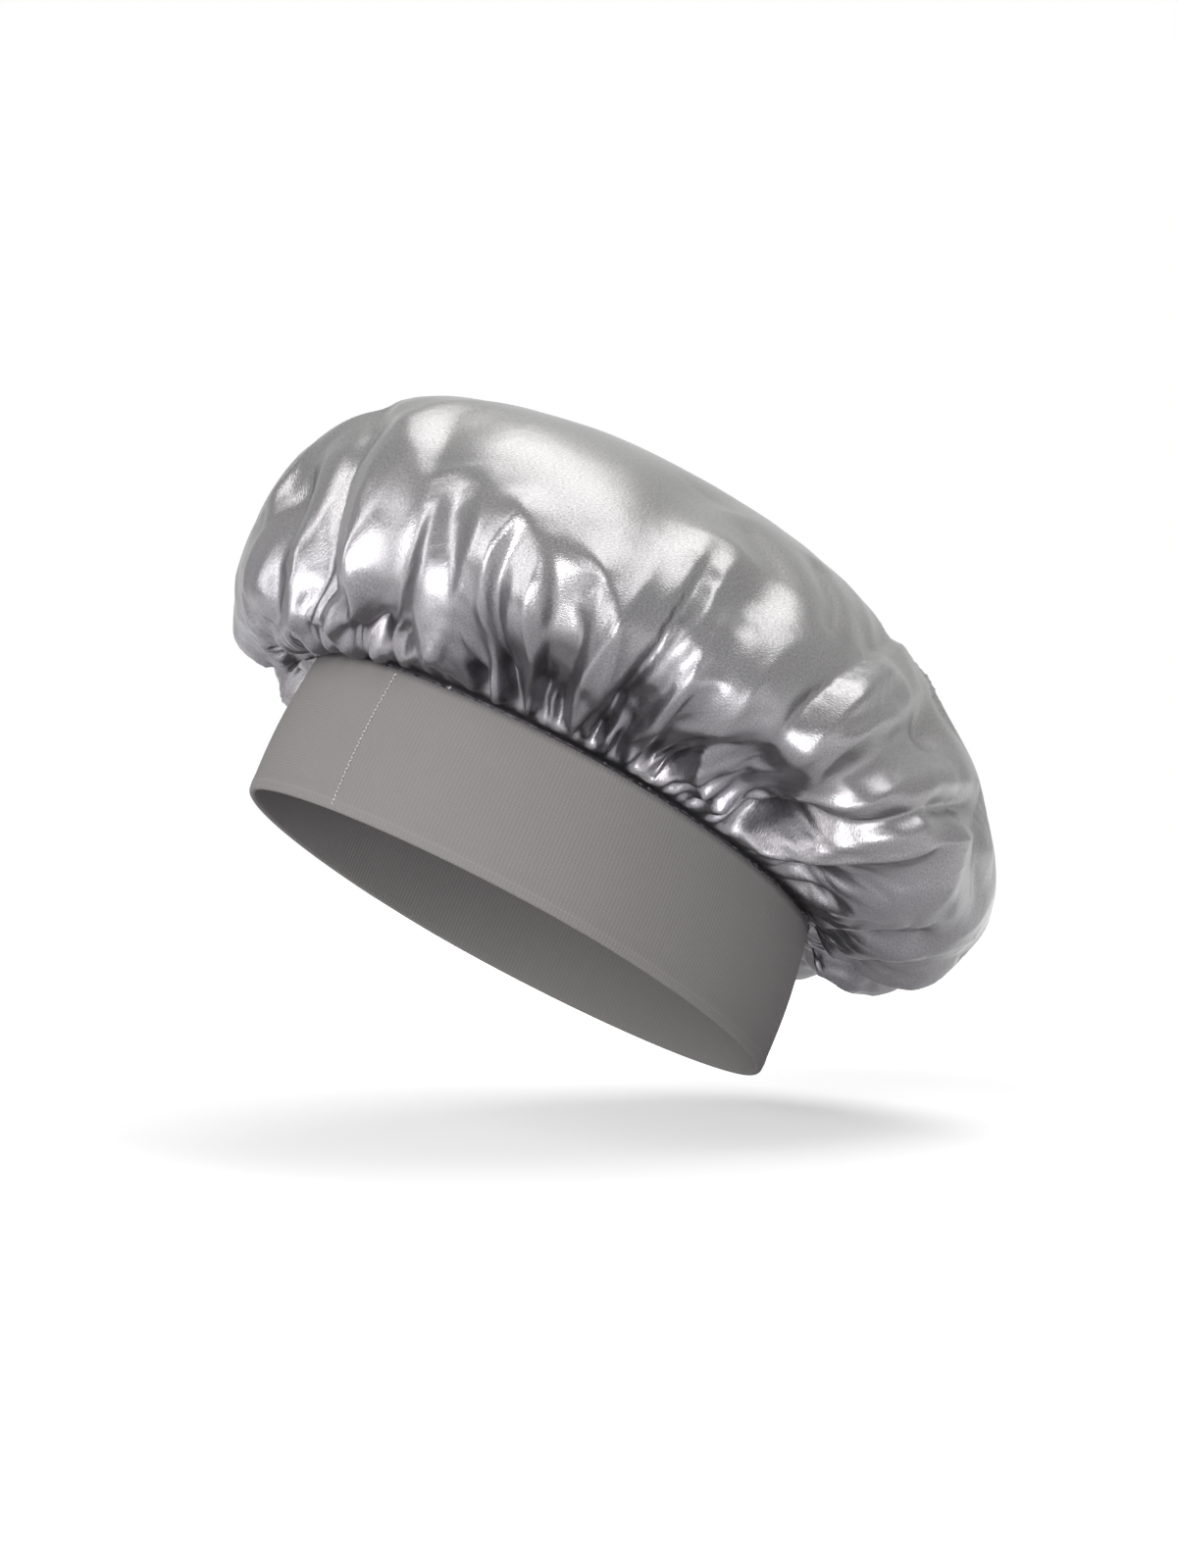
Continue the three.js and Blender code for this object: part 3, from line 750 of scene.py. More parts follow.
# %% Shape of one fold
PROFILES = dict(crease=1.3, ridge=1.1, valley=2.0)
RIM_HEIGHT, RIM_PLACE, RIM_SHARPNESS = 0.35, 1.7, 2.2


def line_effect(points, narrow, rim, kind, height, width, fade, line):
    """Height times a profile of the distance d to the line, exp(-(d/w)^p), where p makes a crease
    sharp, a ridge crested and a valley round. A crease is pinched cloth, so a lower sharp rim runs
    along both its sides. The width is narrowed point by point. Along the drawn line the height goes
    from fade[0] to fade[1], and along the steps that run on past it, down to nothing."""
    a, step = line[:-1], np.diff(line, axis=0)
    reach = np.einsum("ij,ij->i", step, step) + 1e-12
    offset = points[:, None] - a[None]
    t = np.clip(np.einsum("ijk,jk->ij", offset, step) / reach, 0, 1)
    gap = np.linalg.norm(offset - t[..., None] * step, axis=-1)
    near = gap.argmin(1)
    rows = np.arange(len(points))
    d = gap[rows, near] / (width * narrow)
    along = (near + t[rows, near]) / len(step)
    drawn = LINE_STEPS / (LINE_STEPS + RUN_ON)
    size = fade[0] + (fade[1] - fade[0]) * np.minimum(along / drawn, 1)
    size = size * np.clip((1 - along) / (1 - drawn), 0, 1)
    profile = np.exp(-d ** PROFILES[kind])
    if kind == "crease":
        profile = profile - rim * np.exp(-RIM_SHARPNESS * np.abs(d - RIM_PLACE))
    return (height if kind == "ridge" else -height) * size * profile


print("Kinds of fold:", *PROFILES)

# %% Moving the crown by its folds
FACING_FULL = 0.4
RAMP_PER_HEIGHT = 12
NARROW_AT_SEAM = 0.3
NARROW_REACH = 0.14
RIM_ENDS = (0.2, 0.42)


def fold_moves(flat, angle):
    """How far all fold lines together move each place of the smooth crown along its normal. Where the
    cloth is gathered at the seam, every fold is narrow, and a high one needs a longer way from the
    seam to rise. Towards the top the rims fade, and so does a seen line beyond the crown's outline."""
    share = np.clip(1 - flat / DISC_RADIUS, 0, 1)
    points = on_crown(angle, share)
    narrow = NARROW_AT_SEAM + (1 - NARROW_AT_SEAM) * np.clip(share / NARROW_REACH, 0, 1)
    rim = RIM_HEIGHT * np.clip((RIM_ENDS[1] - share) / (RIM_ENDS[1] - RIM_ENDS[0]), 0, 1)
    facing = np.clip(crown_normals(angle, share) @ to_camera / FACING_FULL, 0, 1)
    move = np.zeros_like(angle)
    for line, fades in fold_lines:
        ramp = np.clip(share / (RAMP_PER_HEIGHT * line[1]), 0, 1)
        move += line_effect(points, narrow, rim, *line) * ramp * (facing if fades else 1)
    return move


fold_heights = [line[1] for line, _ in fold_lines]
print("Fold heights:", min(fold_heights), "to", max(fold_heights), "m")

# %% Folded crown
FOLDS_BEFORE_SETTLING = 1.15
PUFF = 0.0015
PUFF_SHARES = (0.06, 0.3)
ALLOWANCE_INSIDE_BAND = 0.00065
OUTER_RING_FROM = 0.9
CLEAR_OF_BAND = 0.0009
CLEAR_ABOVE_BAND = 0.0006
WALL_FROM = 0.985


def folded_crown(flat, angle):
    """The smooth crown, moved along its normals by the folds, the pleats and an even puff. The
    allowance turns down into the band: its inner ring lies at the band's edge, its outer one below."""
    share = np.clip(1 - flat / DISC_RADIUS, 0, 1)
    move = pleats(angle, share, np.random.default_rng(PLEAT_SEED))
    start, full = PUFF_SHARES
    move += PUFF * np.clip((share - start) / (full - start), 0, 1)
    move += FOLDS_BEFORE_SETTLING * fold_moves(flat, angle)
    points = on_crown(angle, share) + crown_normals(angle, share) * move[:, None]
    tuck = flat > DISC_RADIUS + 1e-6
    down = (flat[tuck] - DISC_RADIUS) / CROWN_ALLOWANCE
    inset = BAND_THICKNESS + ALLOWANCE_INSIDE_BAND
    height = np.where(down > OUTER_RING_FROM, BAND_HEIGHT - CROWN_ALLOWANCE, BAND_HEIGHT + CROWN_LIFT_INSIDE)
    inside = on_band(angle[tuck], np.minimum(height, BAND_HEIGHT), inset)[0]
    inside[:, 2] = height
    points[tuck] = inside
    return points


def keep_off_band(points):
    """Moves points that are lower than the band's upper edge out of its wall. The measure is the
    superellipse's own radius: 1 on the wall, more outside."""
    local = points - HEAD_MIDDLE
    a = BAND_TOP["half_length"] + BAND_BULGE + CLEAR_OF_BAND
    b = BAND_TOP["half_width"] + BAND_BULGE + CLEAR_OF_BAND
    x = local[:, 0] + BAND_TOP_FORWARD
    radius = np.abs(x / a) ** OVAL_EXPONENT + np.abs(local[:, 1] / b) ** OVAL_EXPONENT
    radius = radius ** (1 / OVAL_EXPONENT)
    low = (points[:, 2] < BAND_HEIGHT + CLEAR_ABOVE_BAND) & (radius > WALL_FROM) & (radius < 1)
    push = np.where(low, 1 / np.maximum(radius, WALL_FROM), 1)
    moved = points.copy()
    moved[:, 0] = HEAD_MIDDLE[0] - BAND_TOP_FORWARD + x * push
    moved[:, 1] = HEAD_MIDDLE[1] + local[:, 1] * push
    return moved


crown_points = keep_off_band(folded_crown(flat_radius, disc_angle))
print("Folded disc:", len(crown_points), "points")

# %% [markdown]
# ## Let the satin settle
# Folds that are only drawn look modelled. A short cloth simulation turns them into cloth: a little
# air pressure keeps the crown puffy, the cloth's bending rounds what was drawn too stiffly, and
# folds that would lie in each other are pushed apart. The seam is pinned, and the rest is held
# softly near its drawn place, most of all at the top.

# %% Cloth simulation
CLOTH_FRAMES = 10
CLOTH_GAP = 0.0006
CLOTH_SETTINGS = dict(
    quality=5, mass=0.12, tension_stiffness=20, compression_stiffness=20, shear_stiffness=8,
    bending_stiffness=1.5, tension_damping=12, compression_damping=12, shear_damping=12,
    bending_damping=1, air_damping=2, use_pressure=True, uniform_pressure_force=1.0,
    vertex_group_mass="hold", pin_stiffness=1.0,
)
HOLD_LEAST, HOLD_AT_TOP, HOLD_AT_SEAM = 0.06, 0.94, 0.6
HOLD_TOP_FROM, HOLD_TOP_OVER, HOLD_SEAM_OVER = 0.3, 0.6, 0.15
PINNED_SHARE = 0.002


def settle(piece):
    """Steps the Cloth modifier and returns the settled points. The hold on a point is least on the
    lower crown. It grows towards the top and towards the seam, which is pinned."""
    hold = piece.vertex_groups.new(name="hold")
    share = 1 - flat_radius / DISC_RADIUS
    high = np.clip((share - HOLD_TOP_FROM) / HOLD_TOP_OVER, 0, 1)
    low = np.clip(1 - share / HOLD_SEAM_OVER, 0, 1)
    weight = HOLD_LEAST + HOLD_AT_TOP * high + HOLD_AT_SEAM * low
    weight = np.where(share < PINNED_SHARE, 1.0, weight).round(2)
    for level in np.unique(weight):
        hold.add(np.nonzero(weight == level)[0].tolist(), float(level), "REPLACE")
    cloth = piece.modifiers.new("cloth", "CLOTH")
    for name, value in CLOTH_SETTINGS.items():
        setattr(cloth.settings, name, value)
    cloth.settings.effector_weights.gravity = 0
    cloth.collision_settings.use_self_collision = True
    cloth.collision_settings.self_distance_min = CLOTH_GAP
    cloth.collision_settings.collision_quality = 2
    cloth.point_cache.frame_end = CLOTH_FRAMES + 1
    for step in range(1, CLOTH_FRAMES + 1):
        bpy.context.scene.frame_set(step)
    seen = piece.evaluated_get(bpy.context.evaluated_depsgraph_get()).data
    settled = np.empty(len(seen.vertices) * 3, np.float32)
    seen.vertices.foreach_get("co", settled)
    piece.modifiers.remove(cloth)
    bpy.context.scene.frame_set(1)
    return settled.reshape(-1, 3).astype(float)


settled = crown_points
draft = make_piece("draft_cloth", crown_points, net_faces(COARSE_SIDE))
settled = settle(draft)
bpy.data.objects.remove(draft)
moved = np.linalg.norm(settled - crown_points, axis=1)
print("Settled: mean move", moved.mean().round(4), "largest", moved.max().round(4))

# %% Fine crown mesh
FINE_SIDE = 2 * COARSE_SIDE - 1
FOLDS_AFTER_SETTLING = 1.15


def finer(grid):
    """Doubles the net: each new row lies between two rows, at (9 (b + c) - a - d) / 16 of the four
    rows round it, first down the net and then across it."""
    for _ in range(2):
        padded = np.concatenate([2 * grid[:1] - grid[1:2], grid, 2 * grid[-1:] - grid[-2:-1]])
        between = (9 * (padded[1:-2] + padded[2:-1]) - padded[:-3] - padded[3:]) / 16
        rows = np.empty((2 * len(grid) - 1, *grid.shape[1:]))
        rows[::2] = grid
        rows[1::2] = between
        grid = rows.swapaxes(0, 1)
    return grid


fine_points = finer(settled.reshape(COARSE_SIDE, COARSE_SIDE, 3)).reshape(-1, 3)
fine_flat = finer(flat_places.reshape(COARSE_SIDE, COARSE_SIDE, 2)).reshape(-1, 2)
fine_radius = np.linalg.norm(fine_flat, axis=1)
fine_angle = np.arctan2(fine_flat[:, 1], fine_flat[:, 0]) % (2 * np.pi)
fine_share = np.clip(1 - fine_radius / DISC_RADIUS, 0, 1)
fine_move = FOLDS_AFTER_SETTLING * fold_moves(fine_radius, fine_angle)
fine_points += crown_normals(fine_angle, fine_share) * fine_move[:, None]
fine_points = keep_off_band(fine_points)
crown = make_piece("satin_cloth", fine_points, net_faces(FINE_SIDE), fine_flat)
print("Crown:", len(fine_points), "points")

# %% [markdown]
# ## The knit band
# The real band is one strip of stretch knit, folded along its length, so that the fold is the
# lower rim and both cut edges meet at the seam. Its middle surface is a narrow U, and a Solidify
# modifier gives it the thickness of the knit. Just above the rim the folded cloth stands out a
# little and catches the light, and the knit's colour adds a painted highlight line there.

# %% Band surface
BAND_COLUMNS = 512
WALL_ROWS = 22
FOLD_ROWS = 9
RIM_SWELL = 0.0002
RIM_SWELL_HEIGHT = 0.003
RIM_SWELL_REACH = 0.0016


def band_profile():
    """Inset and height along the U: down the outer ply, round the fold in a half circle, and up
    the inner ply."""
    outer = BAND_PLY / 2
    inner = 1.5 * BAND_PLY + BAND_PLY_GAP
    radius = (inner - outer) / 2
    foot = radius + BAND_PLY / 2
    down = np.linspace(BAND_HEIGHT, foot, WALL_ROWS)
    swell = RIM_SWELL * np.exp(-((down - RIM_SWELL_HEIGHT) / RIM_SWELL_REACH) ** 2)
    turn = np.linspace(0, np.pi, FOLD_ROWS)[1:-1]
    inset = np.concatenate([outer - swell, outer + radius * (1 - np.cos(turn)), np.full(WALL_ROWS, inner)])
    height = np.concatenate([down, foot - radius * np.sin(turn), down[::-1]])
    return inset, height


def band_cloth():
    """The U carried round the oval, closed on itself. The UV map's first number runs along the
    band's upper edge, and its second down the outer ply and up the inner one."""
    inset, height = band_profile()
    angle = np.linspace(0, 2 * np.pi, BAND_COLUMNS, endpoint=False)
    a, h = np.meshgrid(angle, height, indexing="ij")
    points = on_band(a, h, np.broadcast_to(inset, a.shape))[0]
    column = np.arange(BAND_COLUMNS)[:, None]
    row = np.arange(len(height) - 1)[None]
    rows = len(height)
    beside = (column + 1) % BAND_COLUMNS
    quads = np.stack([column * rows + row, column * rows + row + 1,
                      beside * rows + row + 1, beside * rows + row], -1).reshape(-1, 4)
    along = np.concatenate([[0], np.cumsum(np.linalg.norm(np.diff(points[:, 0], axis=0), axis=-1))])
    across = np.concatenate([[0], np.cumsum(np.hypot(np.diff(inset), np.diff(height)))])
    uv = np.stack(np.broadcast_arrays(along[:, None], across[None]), -1).reshape(-1, 2)
    return points.reshape(-1, 3), quads, uv


band_points, band_faces, band_uv = band_cloth()
band = make_piece("knit_cloth", band_points, band_faces, band_uv)
wall = band.modifiers.new("knit_thickness", "SOLIDIFY")
wall.thickness = BAND_PLY
wall.offset = 0
wall.use_even_offset = True
print("Band:", len(band_points), "points")

# %% [markdown]
# ## Stitches
# Two seams show. The band's ends are joined by a pale zigzag, of which each stitch shows as a short
# dash, and the satin hangs on a dark seam whose stitches sink between the gathers. They could be
# painted on, but a thread stands out of the cloth and throws a small shadow. A stitch is a small
# spindle: a circle carried along a short chord, thick in the middle and thin at both ends.

# %% A stitch as a spindle
STITCH_SIDES = 6
STITCH_RINGS = 5
STITCH_FULLNESS = 0.6


def spindles(first, last, away, radius):
    """Closed spindles from first to last. Ring t is a circle of radius r sin(pi t)^STITCH_FULLNESS
    round the chord, and its middle rises towards away by half of that."""
    t = np.linspace(0, 1, STITCH_RINGS + 2)[None, :, None]
    turn = np.linspace(0, 2 * np.pi, STITCH_SIDES, endpoint=False)
    along = last - first
    along = along / np.linalg.norm(along, axis=1, keepdims=True)
    side = np.cross(along, away)
    side = side / np.linalg.norm(side, axis=1, keepdims=True)
    up = np.cross(side, along)
    size = radius[:, None, None] * np.maximum(np.sin(np.pi * t), 0) ** STITCH_FULLNESS
    middle = first[:, None] + (last - first)[:, None] * t + up[:, None] * size / 2
    ring = side[:, None, None] * np.cos(turn)[:, None] + up[:, None, None] * np.sin(turn)[:, None]
    rows = middle[:, 1:-1, None] + ring * size[:, 1:-1, None]
    points = np.concatenate([middle[:, :1], rows.reshape(len(first), -1, 3), middle[:, -1:]], 1)
    k = np.arange(STITCH_SIDES)
    beside = (k + 1) % STITCH_SIDES
    tip = 1 + STITCH_RINGS * STITCH_SIDES
    faces = [np.stack([0 * k, 1 + beside, 1 + k], -1)]
    for row in range(STITCH_RINGS - 1):
        low, high = 1 + row * STITCH_SIDES, 1 + (row + 1) * STITCH_SIDES
        faces.append(np.stack([low + k, low + beside, high + beside], -1))
        faces.append(np.stack([low + k, high + beside, high + k], -1))
    faces.append(np.stack([tip - STITCH_SIDES + k, tip - STITCH_SIDES + beside, tip + 0 * k], -1))
    faces = np.concatenate(faces)
    shift = np.arange(len(first))[:, None, None] * points.shape[1]
    return points.reshape(-1, 3), (faces[None] + shift).reshape(-1, 3)


print("A stitch has", 2 * STITCH_SIDES * STITCH_RINGS, "faces")

# %% Join stitches
JOIN_STITCHES = 36
JOIN_STITCH_RADIUS = 0.00026
JOIN_STITCH_LEAN = 0.0004
JOIN_STITCH_GAP = 0.12
JOIN_LIFT = 0.0001
JOIN_MARGIN = 0.0012


def join_stitches(name, inset, top, side):
    """Dashes up the band's end join. Every second one leans the other way. side is 1 for the face
    that shows and -1 for the one that touches the hair."""
    step = np.linspace(JOIN_MARGIN, top, JOIN_STITCHES + 1)
    lean = np.where(np.arange(JOIN_STITCHES) % 2, 1, -1) * JOIN_STITCH_LEAN / BAND_TOP["half_width"]
    angle = np.full(JOIN_STITCHES, JOIN_ANGLE)
    gap = (step[1] - step[0]) * JOIN_STITCH_GAP
    first, out = on_band(angle - lean, step[:-1] + gap, np.full(JOIN_STITCHES, inset))
    last = on_band(angle + lean, step[1:] - gap, np.full(JOIN_STITCHES, inset))[0]
    points, faces = spindles(first, last, side * out, np.full(JOIN_STITCHES, JOIN_STITCH_RADIUS))
    return make_piece(name, points, faces)


outer_join = join_stitches("join_stitches_outer", -JOIN_LIFT, BAND_HEIGHT - JOIN_MARGIN, 1)
inner_join = join_stitches("join_stitches_inner", BAND_THICKNESS + JOIN_LIFT,
                           BAND_HEIGHT - CROWN_ALLOWANCE - JOIN_MARGIN, -1)
print("Join stitches:", 2 * JOIN_STITCHES)

# %% Seam stitches
SEAM_STITCHES = 150
SEAM_STITCH_RADIUS = 0.00042
SEAM_STITCH_LENGTH = 0.0031
SEAM_STITCH_SEED = 5
# Ranges of the random numbers: places along the seam, half lengths, depths, lifts and thicknesses.
SEAM_SHIFTS = (-0.2, 0.2)
SEAM_HALVES = (0.25, 0.6)
SEAM_INSETS = (0.0, 0.0004)
SEAM_LIFTS = (0.0002, 0.0009)
SEAM_THICKNESSES = (0.5, 1.2)


def seam_stitches():
    """Dashes along the band's upper edge. Their length, thickness and height wander a little."""
    rng = np.random.default_rng(SEAM_STITCH_SEED)
    shift = rng.uniform(*SEAM_SHIFTS, SEAM_STITCHES)
    angle = (np.arange(SEAM_STITCHES) + shift) * 2 * np.pi / SEAM_STITCHES
    half = SEAM_STITCH_LENGTH * rng.uniform(*SEAM_HALVES, SEAM_STITCHES) / BAND_TOP["half_length"]
    height = np.full(SEAM_STITCHES, BAND_HEIGHT)
    inset = rng.uniform(*SEAM_INSETS, SEAM_STITCHES)
    first = on_band(angle - half, height, inset)[0]
    last, out = on_band(angle + half, height, inset)
    lift = np.array([0, 0, 1]) * rng.uniform(*SEAM_LIFTS, SEAM_STITCHES)[:, None]
    radius = SEAM_STITCH_RADIUS * rng.uniform(*SEAM_THICKNESSES, SEAM_STITCHES)
    points, faces = spindles(first + lift, last + lift, out, radius)
    return make_piece("seam_stitches", points, faces)


seam = seam_stitches()
print("Seam stitches:", SEAM_STITCHES)

# %% [markdown]
# ## Materials
# All the bonnet's colours come from nodes. Satin and knit share one group for the uneven tone and
# the grain of a woven or knitted cloth, and all the threads share one for the twist of spun yarn.
# A group gives only values. The shader and its plain numbers stay in each material.

# %% Helpers for groups
FLOAT, VECTOR = "NodeSocketFloat", "NodeSocketVector"


def noise(tree, place, scale, detail=2.0):
    """Smooth noise from 0 to 1 at a place, with about scale blots for each metre."""
    return put(tree, "TexNoise", {"Vector": place, "Scale": scale, "Detail": detail}).outputs[0]


def swing(tree, value, strength):
    """Turns a value from 0 to 1 into one from -strength to strength."""
    return calculate(tree, "MULTIPLY", calculate(tree, "MULTIPLY_ADD", value, 2.0, -1.0), strength)


def new_group(name, inputs, outputs):
    """An empty node group. Inputs maps each socket's name to its kind and default value."""
    group = bpy.data.node_groups.new(name, "ShaderNodeTree")
    for socket, (kind, value) in inputs.items():
        made = group.interface.new_socket(socket, in_out="INPUT", socket_type=kind)
        if value is not None:
            made.default_value = value
    for socket in outputs:
        group.interface.new_socket(socket, in_out="OUTPUT", socket_type=FLOAT)
    return group, group.nodes.new("NodeGroupInput").outputs, group.nodes.new("NodeGroupOutput").inputs


# %% Group for cloth
def uneven_cloth():
    """Tone is 1 plus wide patches plus a fine grain. Grain alone, from 0 to 1, is for the bump. The
    grain is long along the first direction of the cloth, like the floats of a weave."""
    group, given, wanted = new_group("uneven_cloth", {
        "Place": (VECTOR, None), "Patches per metre": (FLOAT, 25.0), "Patch strength": (FLOAT, 0.05),
        "Grains per metre": (FLOAT, 2000.0), "Grain strength": (FLOAT, 0.08), "Grain length": (FLOAT, 2.0),
    }, ["Tone", "Grain"])
    patch = noise(group, given["Place"], given["Patches per metre"])
    shorter = calculate(group, "DIVIDE", 1.0, given["Grain length"])
    squeeze = put(group, "CombineXYZ", {0: shorter, 1: 1.0, 2: 1.0}).outputs[0]
    stretch = put(group, "VectorMath", {0: given["Place"], 1: squeeze}, operation="MULTIPLY")
    grain = noise(group, stretch.outputs[0], given["Grains per metre"], 1.0)
    tone = calculate(group, "ADD", swing(group, patch, given["Patch strength"]),
                     swing(group, grain, given["Grain strength"]))
    group.links.new(calculate(group, "ADD", tone, 1.0), wanted["Tone"])
    group.links.new(grain, wanted["Grain"])
    return group


cloth_group = uneven_cloth()
print("Group", cloth_group.name, "has", len(cloth_group.nodes), "nodes")

# %% Group for thread
YARN_FUZZ_PER_METRE = 4000


def spun_thread():
    """Tone and height of a twisted thread: slanted stripes from a sine of x + y + z, and fuzz."""
    group, given, wanted = new_group("spun_thread", {
        "Place": (VECTOR, None), "Twist pitch": (FLOAT, 0.0006), "Twist strength": (FLOAT, 0.2),
        "Fuzz strength": (FLOAT, 0.15),
    }, ["Tone", "Height"])
    split = put(group, "SeparateXYZ", {0: given["Place"]}).outputs
    total = calculate(group, "ADD", calculate(group, "ADD", split[0], split[1]), split[2])
    turn = calculate(group, "DIVIDE", calculate(group, "MULTIPLY", total, 2 * math.pi), given["Twist pitch"])
    twist = calculate(group, "MULTIPLY_ADD", calculate(group, "SINE", turn), 0.5, 0.5)
    fuzz = noise(group, given["Place"], YARN_FUZZ_PER_METRE)
    tone = calculate(group, "ADD", swing(group, twist, given["Twist strength"]),
                     swing(group, fuzz, given["Fuzz strength"]))
    height = calculate(group, "ADD", twist, calculate(group, "MULTIPLY", fuzz, 0.5))
    group.links.new(calculate(group, "ADD", tone, 1.0), wanted["Tone"])
    group.links.new(height, wanted["Height"])
    return group


thread_group = spun_thread()
print("Group", thread_group.name, "has", len(thread_group.nodes), "nodes")

# %% [markdown]
# ## Satin
# Satin has long floats of smooth yarn on its face, so it mirrors like a soft metal, wider across the
# floats than along them. A grey paint with a sheen would look like paper. So the shader is nearly
# all metal, anisotropic along the cloth, with a speckle of the weave. Its colour tints what it mirrors:
# silver towards the top, and towards the gathers a painted shade of lavender and rosy patches.

# %% Satin
SATIN_WARM = (0.228, 0.224, 0.222, 1)
# Painted shade: lavender and rose, a little darker than the silver, stand in for the cool and rosy shade
# among the gathers.
SATIN_SHADE_LAVENDER = (0.202, 0.199, 0.228, 1)
SATIN_SHADE_ROSE = (0.218, 0.207, 0.209, 1)
SATIN_SHADE_REACH = (0.12, 0.235)
SATIN_SHADE_PATCHES_PER_METRE = 14
SATIN_ROUGHNESS = (0.27, 0.36)
SATIN_GLOSSES_PER_METRE = 40
SATIN_WAVES_PER_METRE = 70
SATIN_WAVE_HEIGHT = 0.00025
SATIN_GRAIN_HEIGHT = 0.00016


def new_material(name):
    """A material with its tree and its shader."""
    material = bpy.data.materials.new(name)
    material.use_nodes = True
    return material, material.node_tree, material.node_tree.nodes["Principled BSDF"]


def shaded(tree, color, tone):
    """A colour times a tone. Sockets 6 and 7 of a Mix node are its two colours."""
    grey = put(tree, "CombineColor", {0: tone, 1: tone, 2: tone}).outputs[0]
    return put(tree, "Mix", {0: 1.0, 6: color, 7: grey},
               data_type="RGBA", blend_type="MULTIPLY").outputs[2]


def blended(tree, share, first, second):
    """A mix of two colours by a share."""
    return put(tree, "Mix", {0: share, 6: first, 7: second}, data_type="RGBA").outputs[2]


def satin_material():
    """Silver satin: metal-like floats, a painted shade of cool and rosy tints towards the gathers, a woven
    speckle.
    """
    material, tree, shader = new_material("silver_satin")
    cloth = put(tree, "UVMap", {}, uv_map="cloth").outputs[0]
    weave = put(tree, "Group", {
        "Place": cloth, "Patch strength": 0.06, "Grain strength": 0.5, "Grains per metre": 1900,
    }, node_tree=cloth_group).outputs
    distance = put(tree, "VectorMath", {0: cloth}, operation="LENGTH").outputs["Value"]
    # Painted shade: the tints grow towards the seam, where the gathers lie in shade.
    start, end = SATIN_SHADE_REACH
    painted_seam_shade = put(tree, "MapRange", {"Value": distance, "From Min": start, "From Max": end},
                    interpolation_type="SMOOTHSTEP").outputs[0]
    shade_tint = blended(tree, noise(tree, cloth, SATIN_SHADE_PATCHES_PER_METRE), SATIN_SHADE_LAVENDER, SATIN_SHADE_ROSE)
    color = blended(tree, painted_seam_shade, SATIN_WARM, shade_tint)
    least, most = SATIN_ROUGHNESS
    rough = put(tree, "MapRange", {
        "Value": noise(tree, cloth, SATIN_GLOSSES_PER_METRE), "To Min": least, "To Max": most})
    waves = put(tree, "Bump", {
        "Height": noise(tree, cloth, SATIN_WAVES_PER_METRE), "Strength": 1.0, "Distance": SATIN_WAVE_HEIGHT})
    grain = put(tree, "Bump", {
        "Height": weave["Grain"], "Strength": 0.5, "Distance": SATIN_GRAIN_HEIGHT,
        "Normal": waves.outputs[0]})
    along = put(tree, "Tangent", {}, direction_type="UV_MAP", uv_map="cloth")
    fill(tree, shader, {
        "Base Color": shaded(tree, color, weave["Tone"]), "Roughness": rough.outputs[0],
        "Normal": grain.outputs[0], "Tangent": along.outputs[0], "Anisotropic": 0.5, "Metallic": 0.95})
    return material


crown.data.materials.append(satin_material())
print("Satin:", len(crown.data.materials[0].node_tree.nodes), "nodes")

# %% [markdown]
# ## Knit
# The band is a fine jersey: ridges of loops up its height and smaller courses across them. Looped
# yarns as geometry would be far too many, so the loops are a bump and a faint shade in the cloth's
# own UV map. It is matte, so it has no sheen and a high roughness.

# %% Knit
KNIT_COLOR = (0.172, 0.163, 0.162, 1)
WALE_PITCH = 0.00125
COURSE_PITCH = 0.0009
LOOP_LEAN = 1.6
COURSE_HEIGHT = 0.35
FUZZ_HEIGHT = 0.3
WALE_SHADE = 0.05
RIM_HIGHLIGHT_WIDTH = 0.0004
RIM_HIGHLIGHT_TONE = 0.10


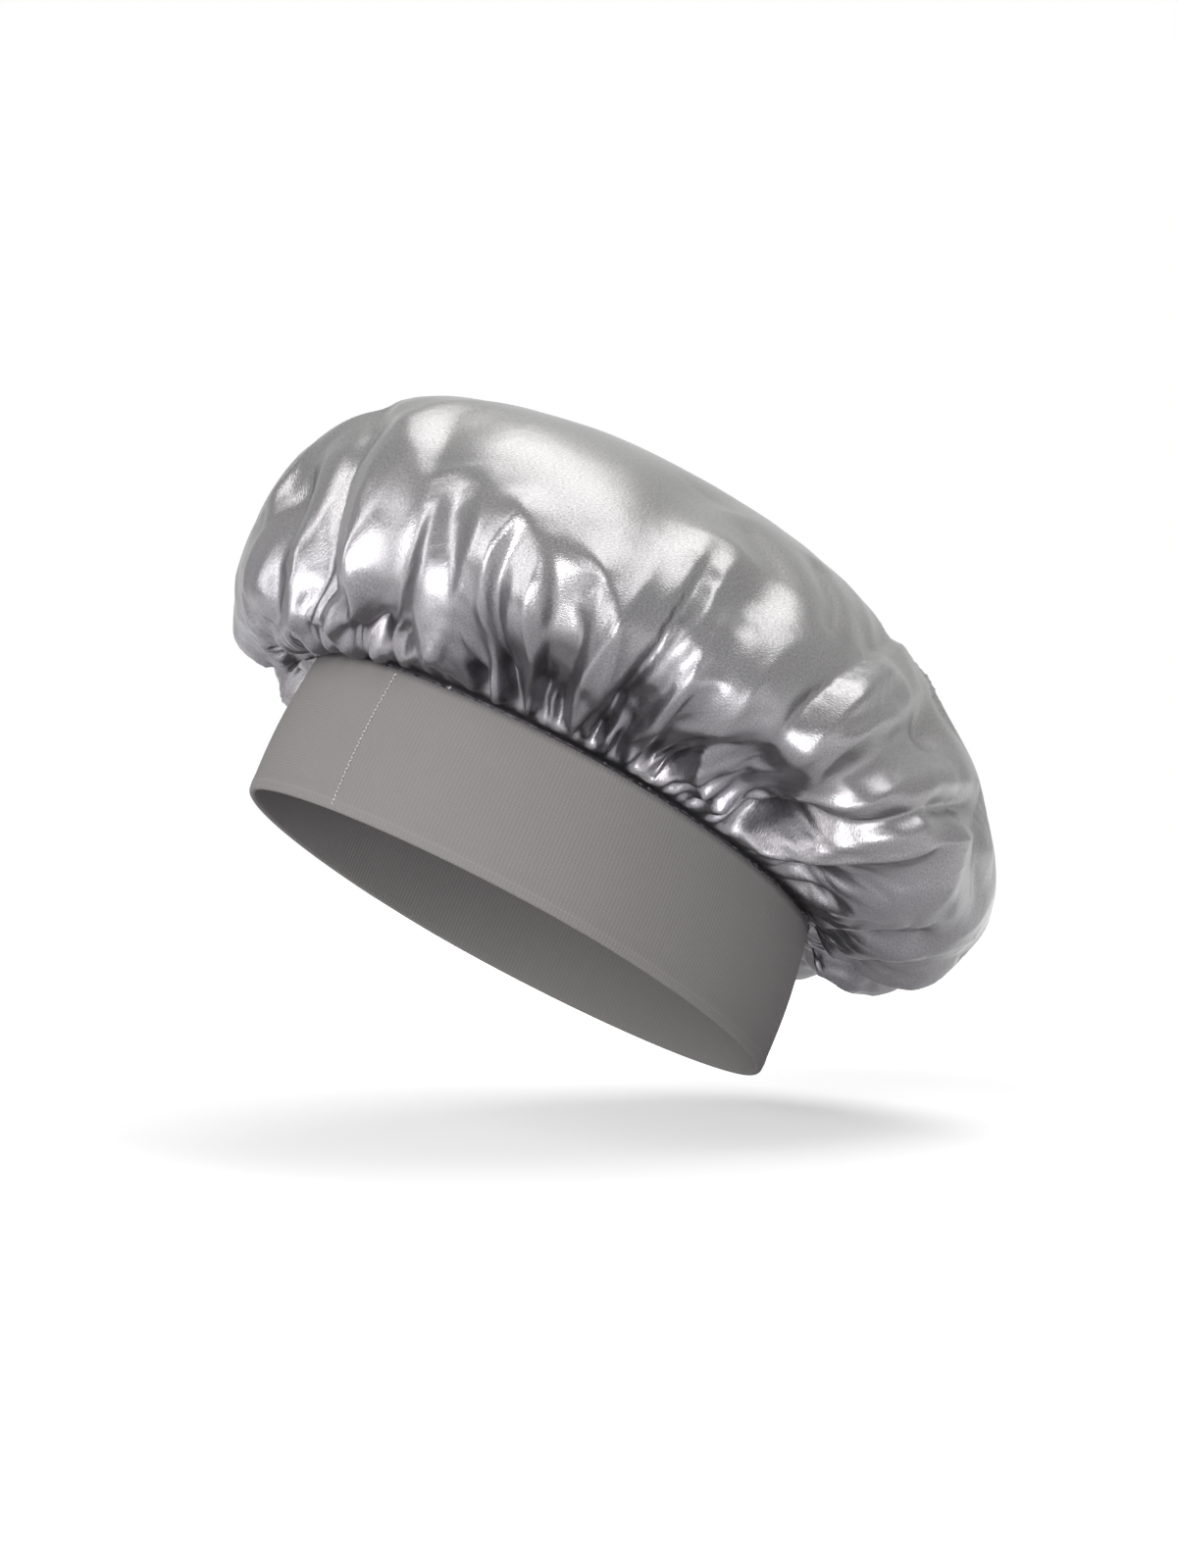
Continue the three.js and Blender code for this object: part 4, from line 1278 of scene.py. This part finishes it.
def knit_material():
    """Grey knit. Its wales are ridges up the band, |sin(pi u / pitch)|, and its courses a finer sine
    across them that leans with each wale, so that the loops look like small Vs. A thin lighter line
    just above the rim is a painted highlight."""
    material, tree, shader = new_material("grey_knit")
    cloth = put(tree, "UVMap", {}, uv_map="cloth").outputs[0]
    split = put(tree, "SeparateXYZ", {0: cloth}).outputs
    wale_turn = calculate(tree, "MULTIPLY", split[0], math.pi / WALE_PITCH)
    wale = calculate(tree, "ABSOLUTE", calculate(tree, "SINE", wale_turn))
    lean = calculate(tree, "MULTIPLY", wale, LOOP_LEAN)
    course_turn = calculate(tree, "MULTIPLY_ADD", split[1], 2 * math.pi / COURSE_PITCH, lean)
    course = calculate(tree, "MULTIPLY_ADD", calculate(tree, "SINE", course_turn), 0.5, 0.5)
    loops = calculate(tree, "MULTIPLY_ADD", course, COURSE_HEIGHT, wale)
    yarn = put(tree, "Group", {
        "Place": cloth, "Patch strength": 0.05, "Grain strength": 0.12, "Grains per metre": 1500,
        "Grain length": 0.5,
    }, node_tree=cloth_group).outputs
    # Painted highlight: a thin lighter line of tone just above the rim, along the swell of the fold.
    rim_highlight_place = BAND_HEIGHT - RIM_SWELL_HEIGHT
    offset = calculate(tree, "DIVIDE", calculate(tree, "SUBTRACT", split[1], rim_highlight_place), RIM_HIGHLIGHT_WIDTH)
    squared = calculate(tree, "MULTIPLY", offset, offset)
    rim = calculate(tree, "EXPONENT", calculate(tree, "MULTIPLY", squared, -1.0))
    tone = calculate(tree, "ADD", yarn["Tone"], swing(tree, loops, WALE_SHADE))
    tone = calculate(tree, "MULTIPLY_ADD", rim, RIM_HIGHLIGHT_TONE, tone)
    height = calculate(tree, "MULTIPLY_ADD", yarn["Grain"], FUZZ_HEIGHT, loops)
    bump = put(tree, "Bump", {"Height": height, "Strength": 0.5, "Distance": 0.00015})
    fill(tree, shader, {
        "Base Color": shaded(tree, KNIT_COLOR, tone), "Normal": bump.outputs[0], "Roughness": 0.92})
    return material


band.data.materials.append(knit_material())
print("Knit:", len(band.data.materials[0].node_tree.nodes), "nodes")

# %% [markdown]
# ## Threads
# Both seams are sewn with spun yarn, pale in the band's join and nearly black at the gathers. A
# thread this thin needs no fibres: slanted stripes of tone and height give it its twist.

# %% Threads
PALE_THREAD = (0.44, 0.43, 0.43, 1)
DARK_THREAD = (0.048, 0.043, 0.052, 1)


def thread_material(name, color):
    """Spun yarn of one colour, twisted and a little fuzzy."""
    material, tree, shader = new_material(name)
    place = put(tree, "TexCoord", {}).outputs["Object"]
    yarn = put(tree, "Group", {"Place": place}, node_tree=thread_group).outputs
    bump = put(tree, "Bump", {"Height": yarn["Height"], "Strength": 0.6, "Distance": 0.0001})
    fill(tree, shader, {
        "Base Color": shaded(tree, color, yarn["Tone"]), "Normal": bump.outputs[0], "Roughness": 0.7})
    return material


pale_thread = thread_material("pale_thread", PALE_THREAD)
dark_thread = thread_material("dark_thread", DARK_THREAD)
for piece, material in ((outer_join, pale_thread), (inner_join, pale_thread), (seam, dark_thread)):
    piece.data.materials.append(material)
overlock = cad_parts["overlock_thread"]
for slot in overlock.material_slots:
    slot.material = pale_thread
print("Overlock thread:", [slot.material.name for slot in overlock.material_slots])

# %% [markdown]
# ## What each piece is
# All five pieces ride on the only body, and each hides the plain solid that it stands for. The
# overlock thread inside is the solid of the model.

# %% Pieces on the body
for piece, node, slot in (
    (crown, "satin_crown", "satin"),
    (band, "knit_band", "knit"),
    (outer_join, "band_join_stitch_outer", "pale_thread"),
    (inner_join, "band_join_stitch_inner", "pale_thread"),
    (seam, "gather_seam_thread", "dark_thread"),
):
    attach(piece, "root")
    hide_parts(node)
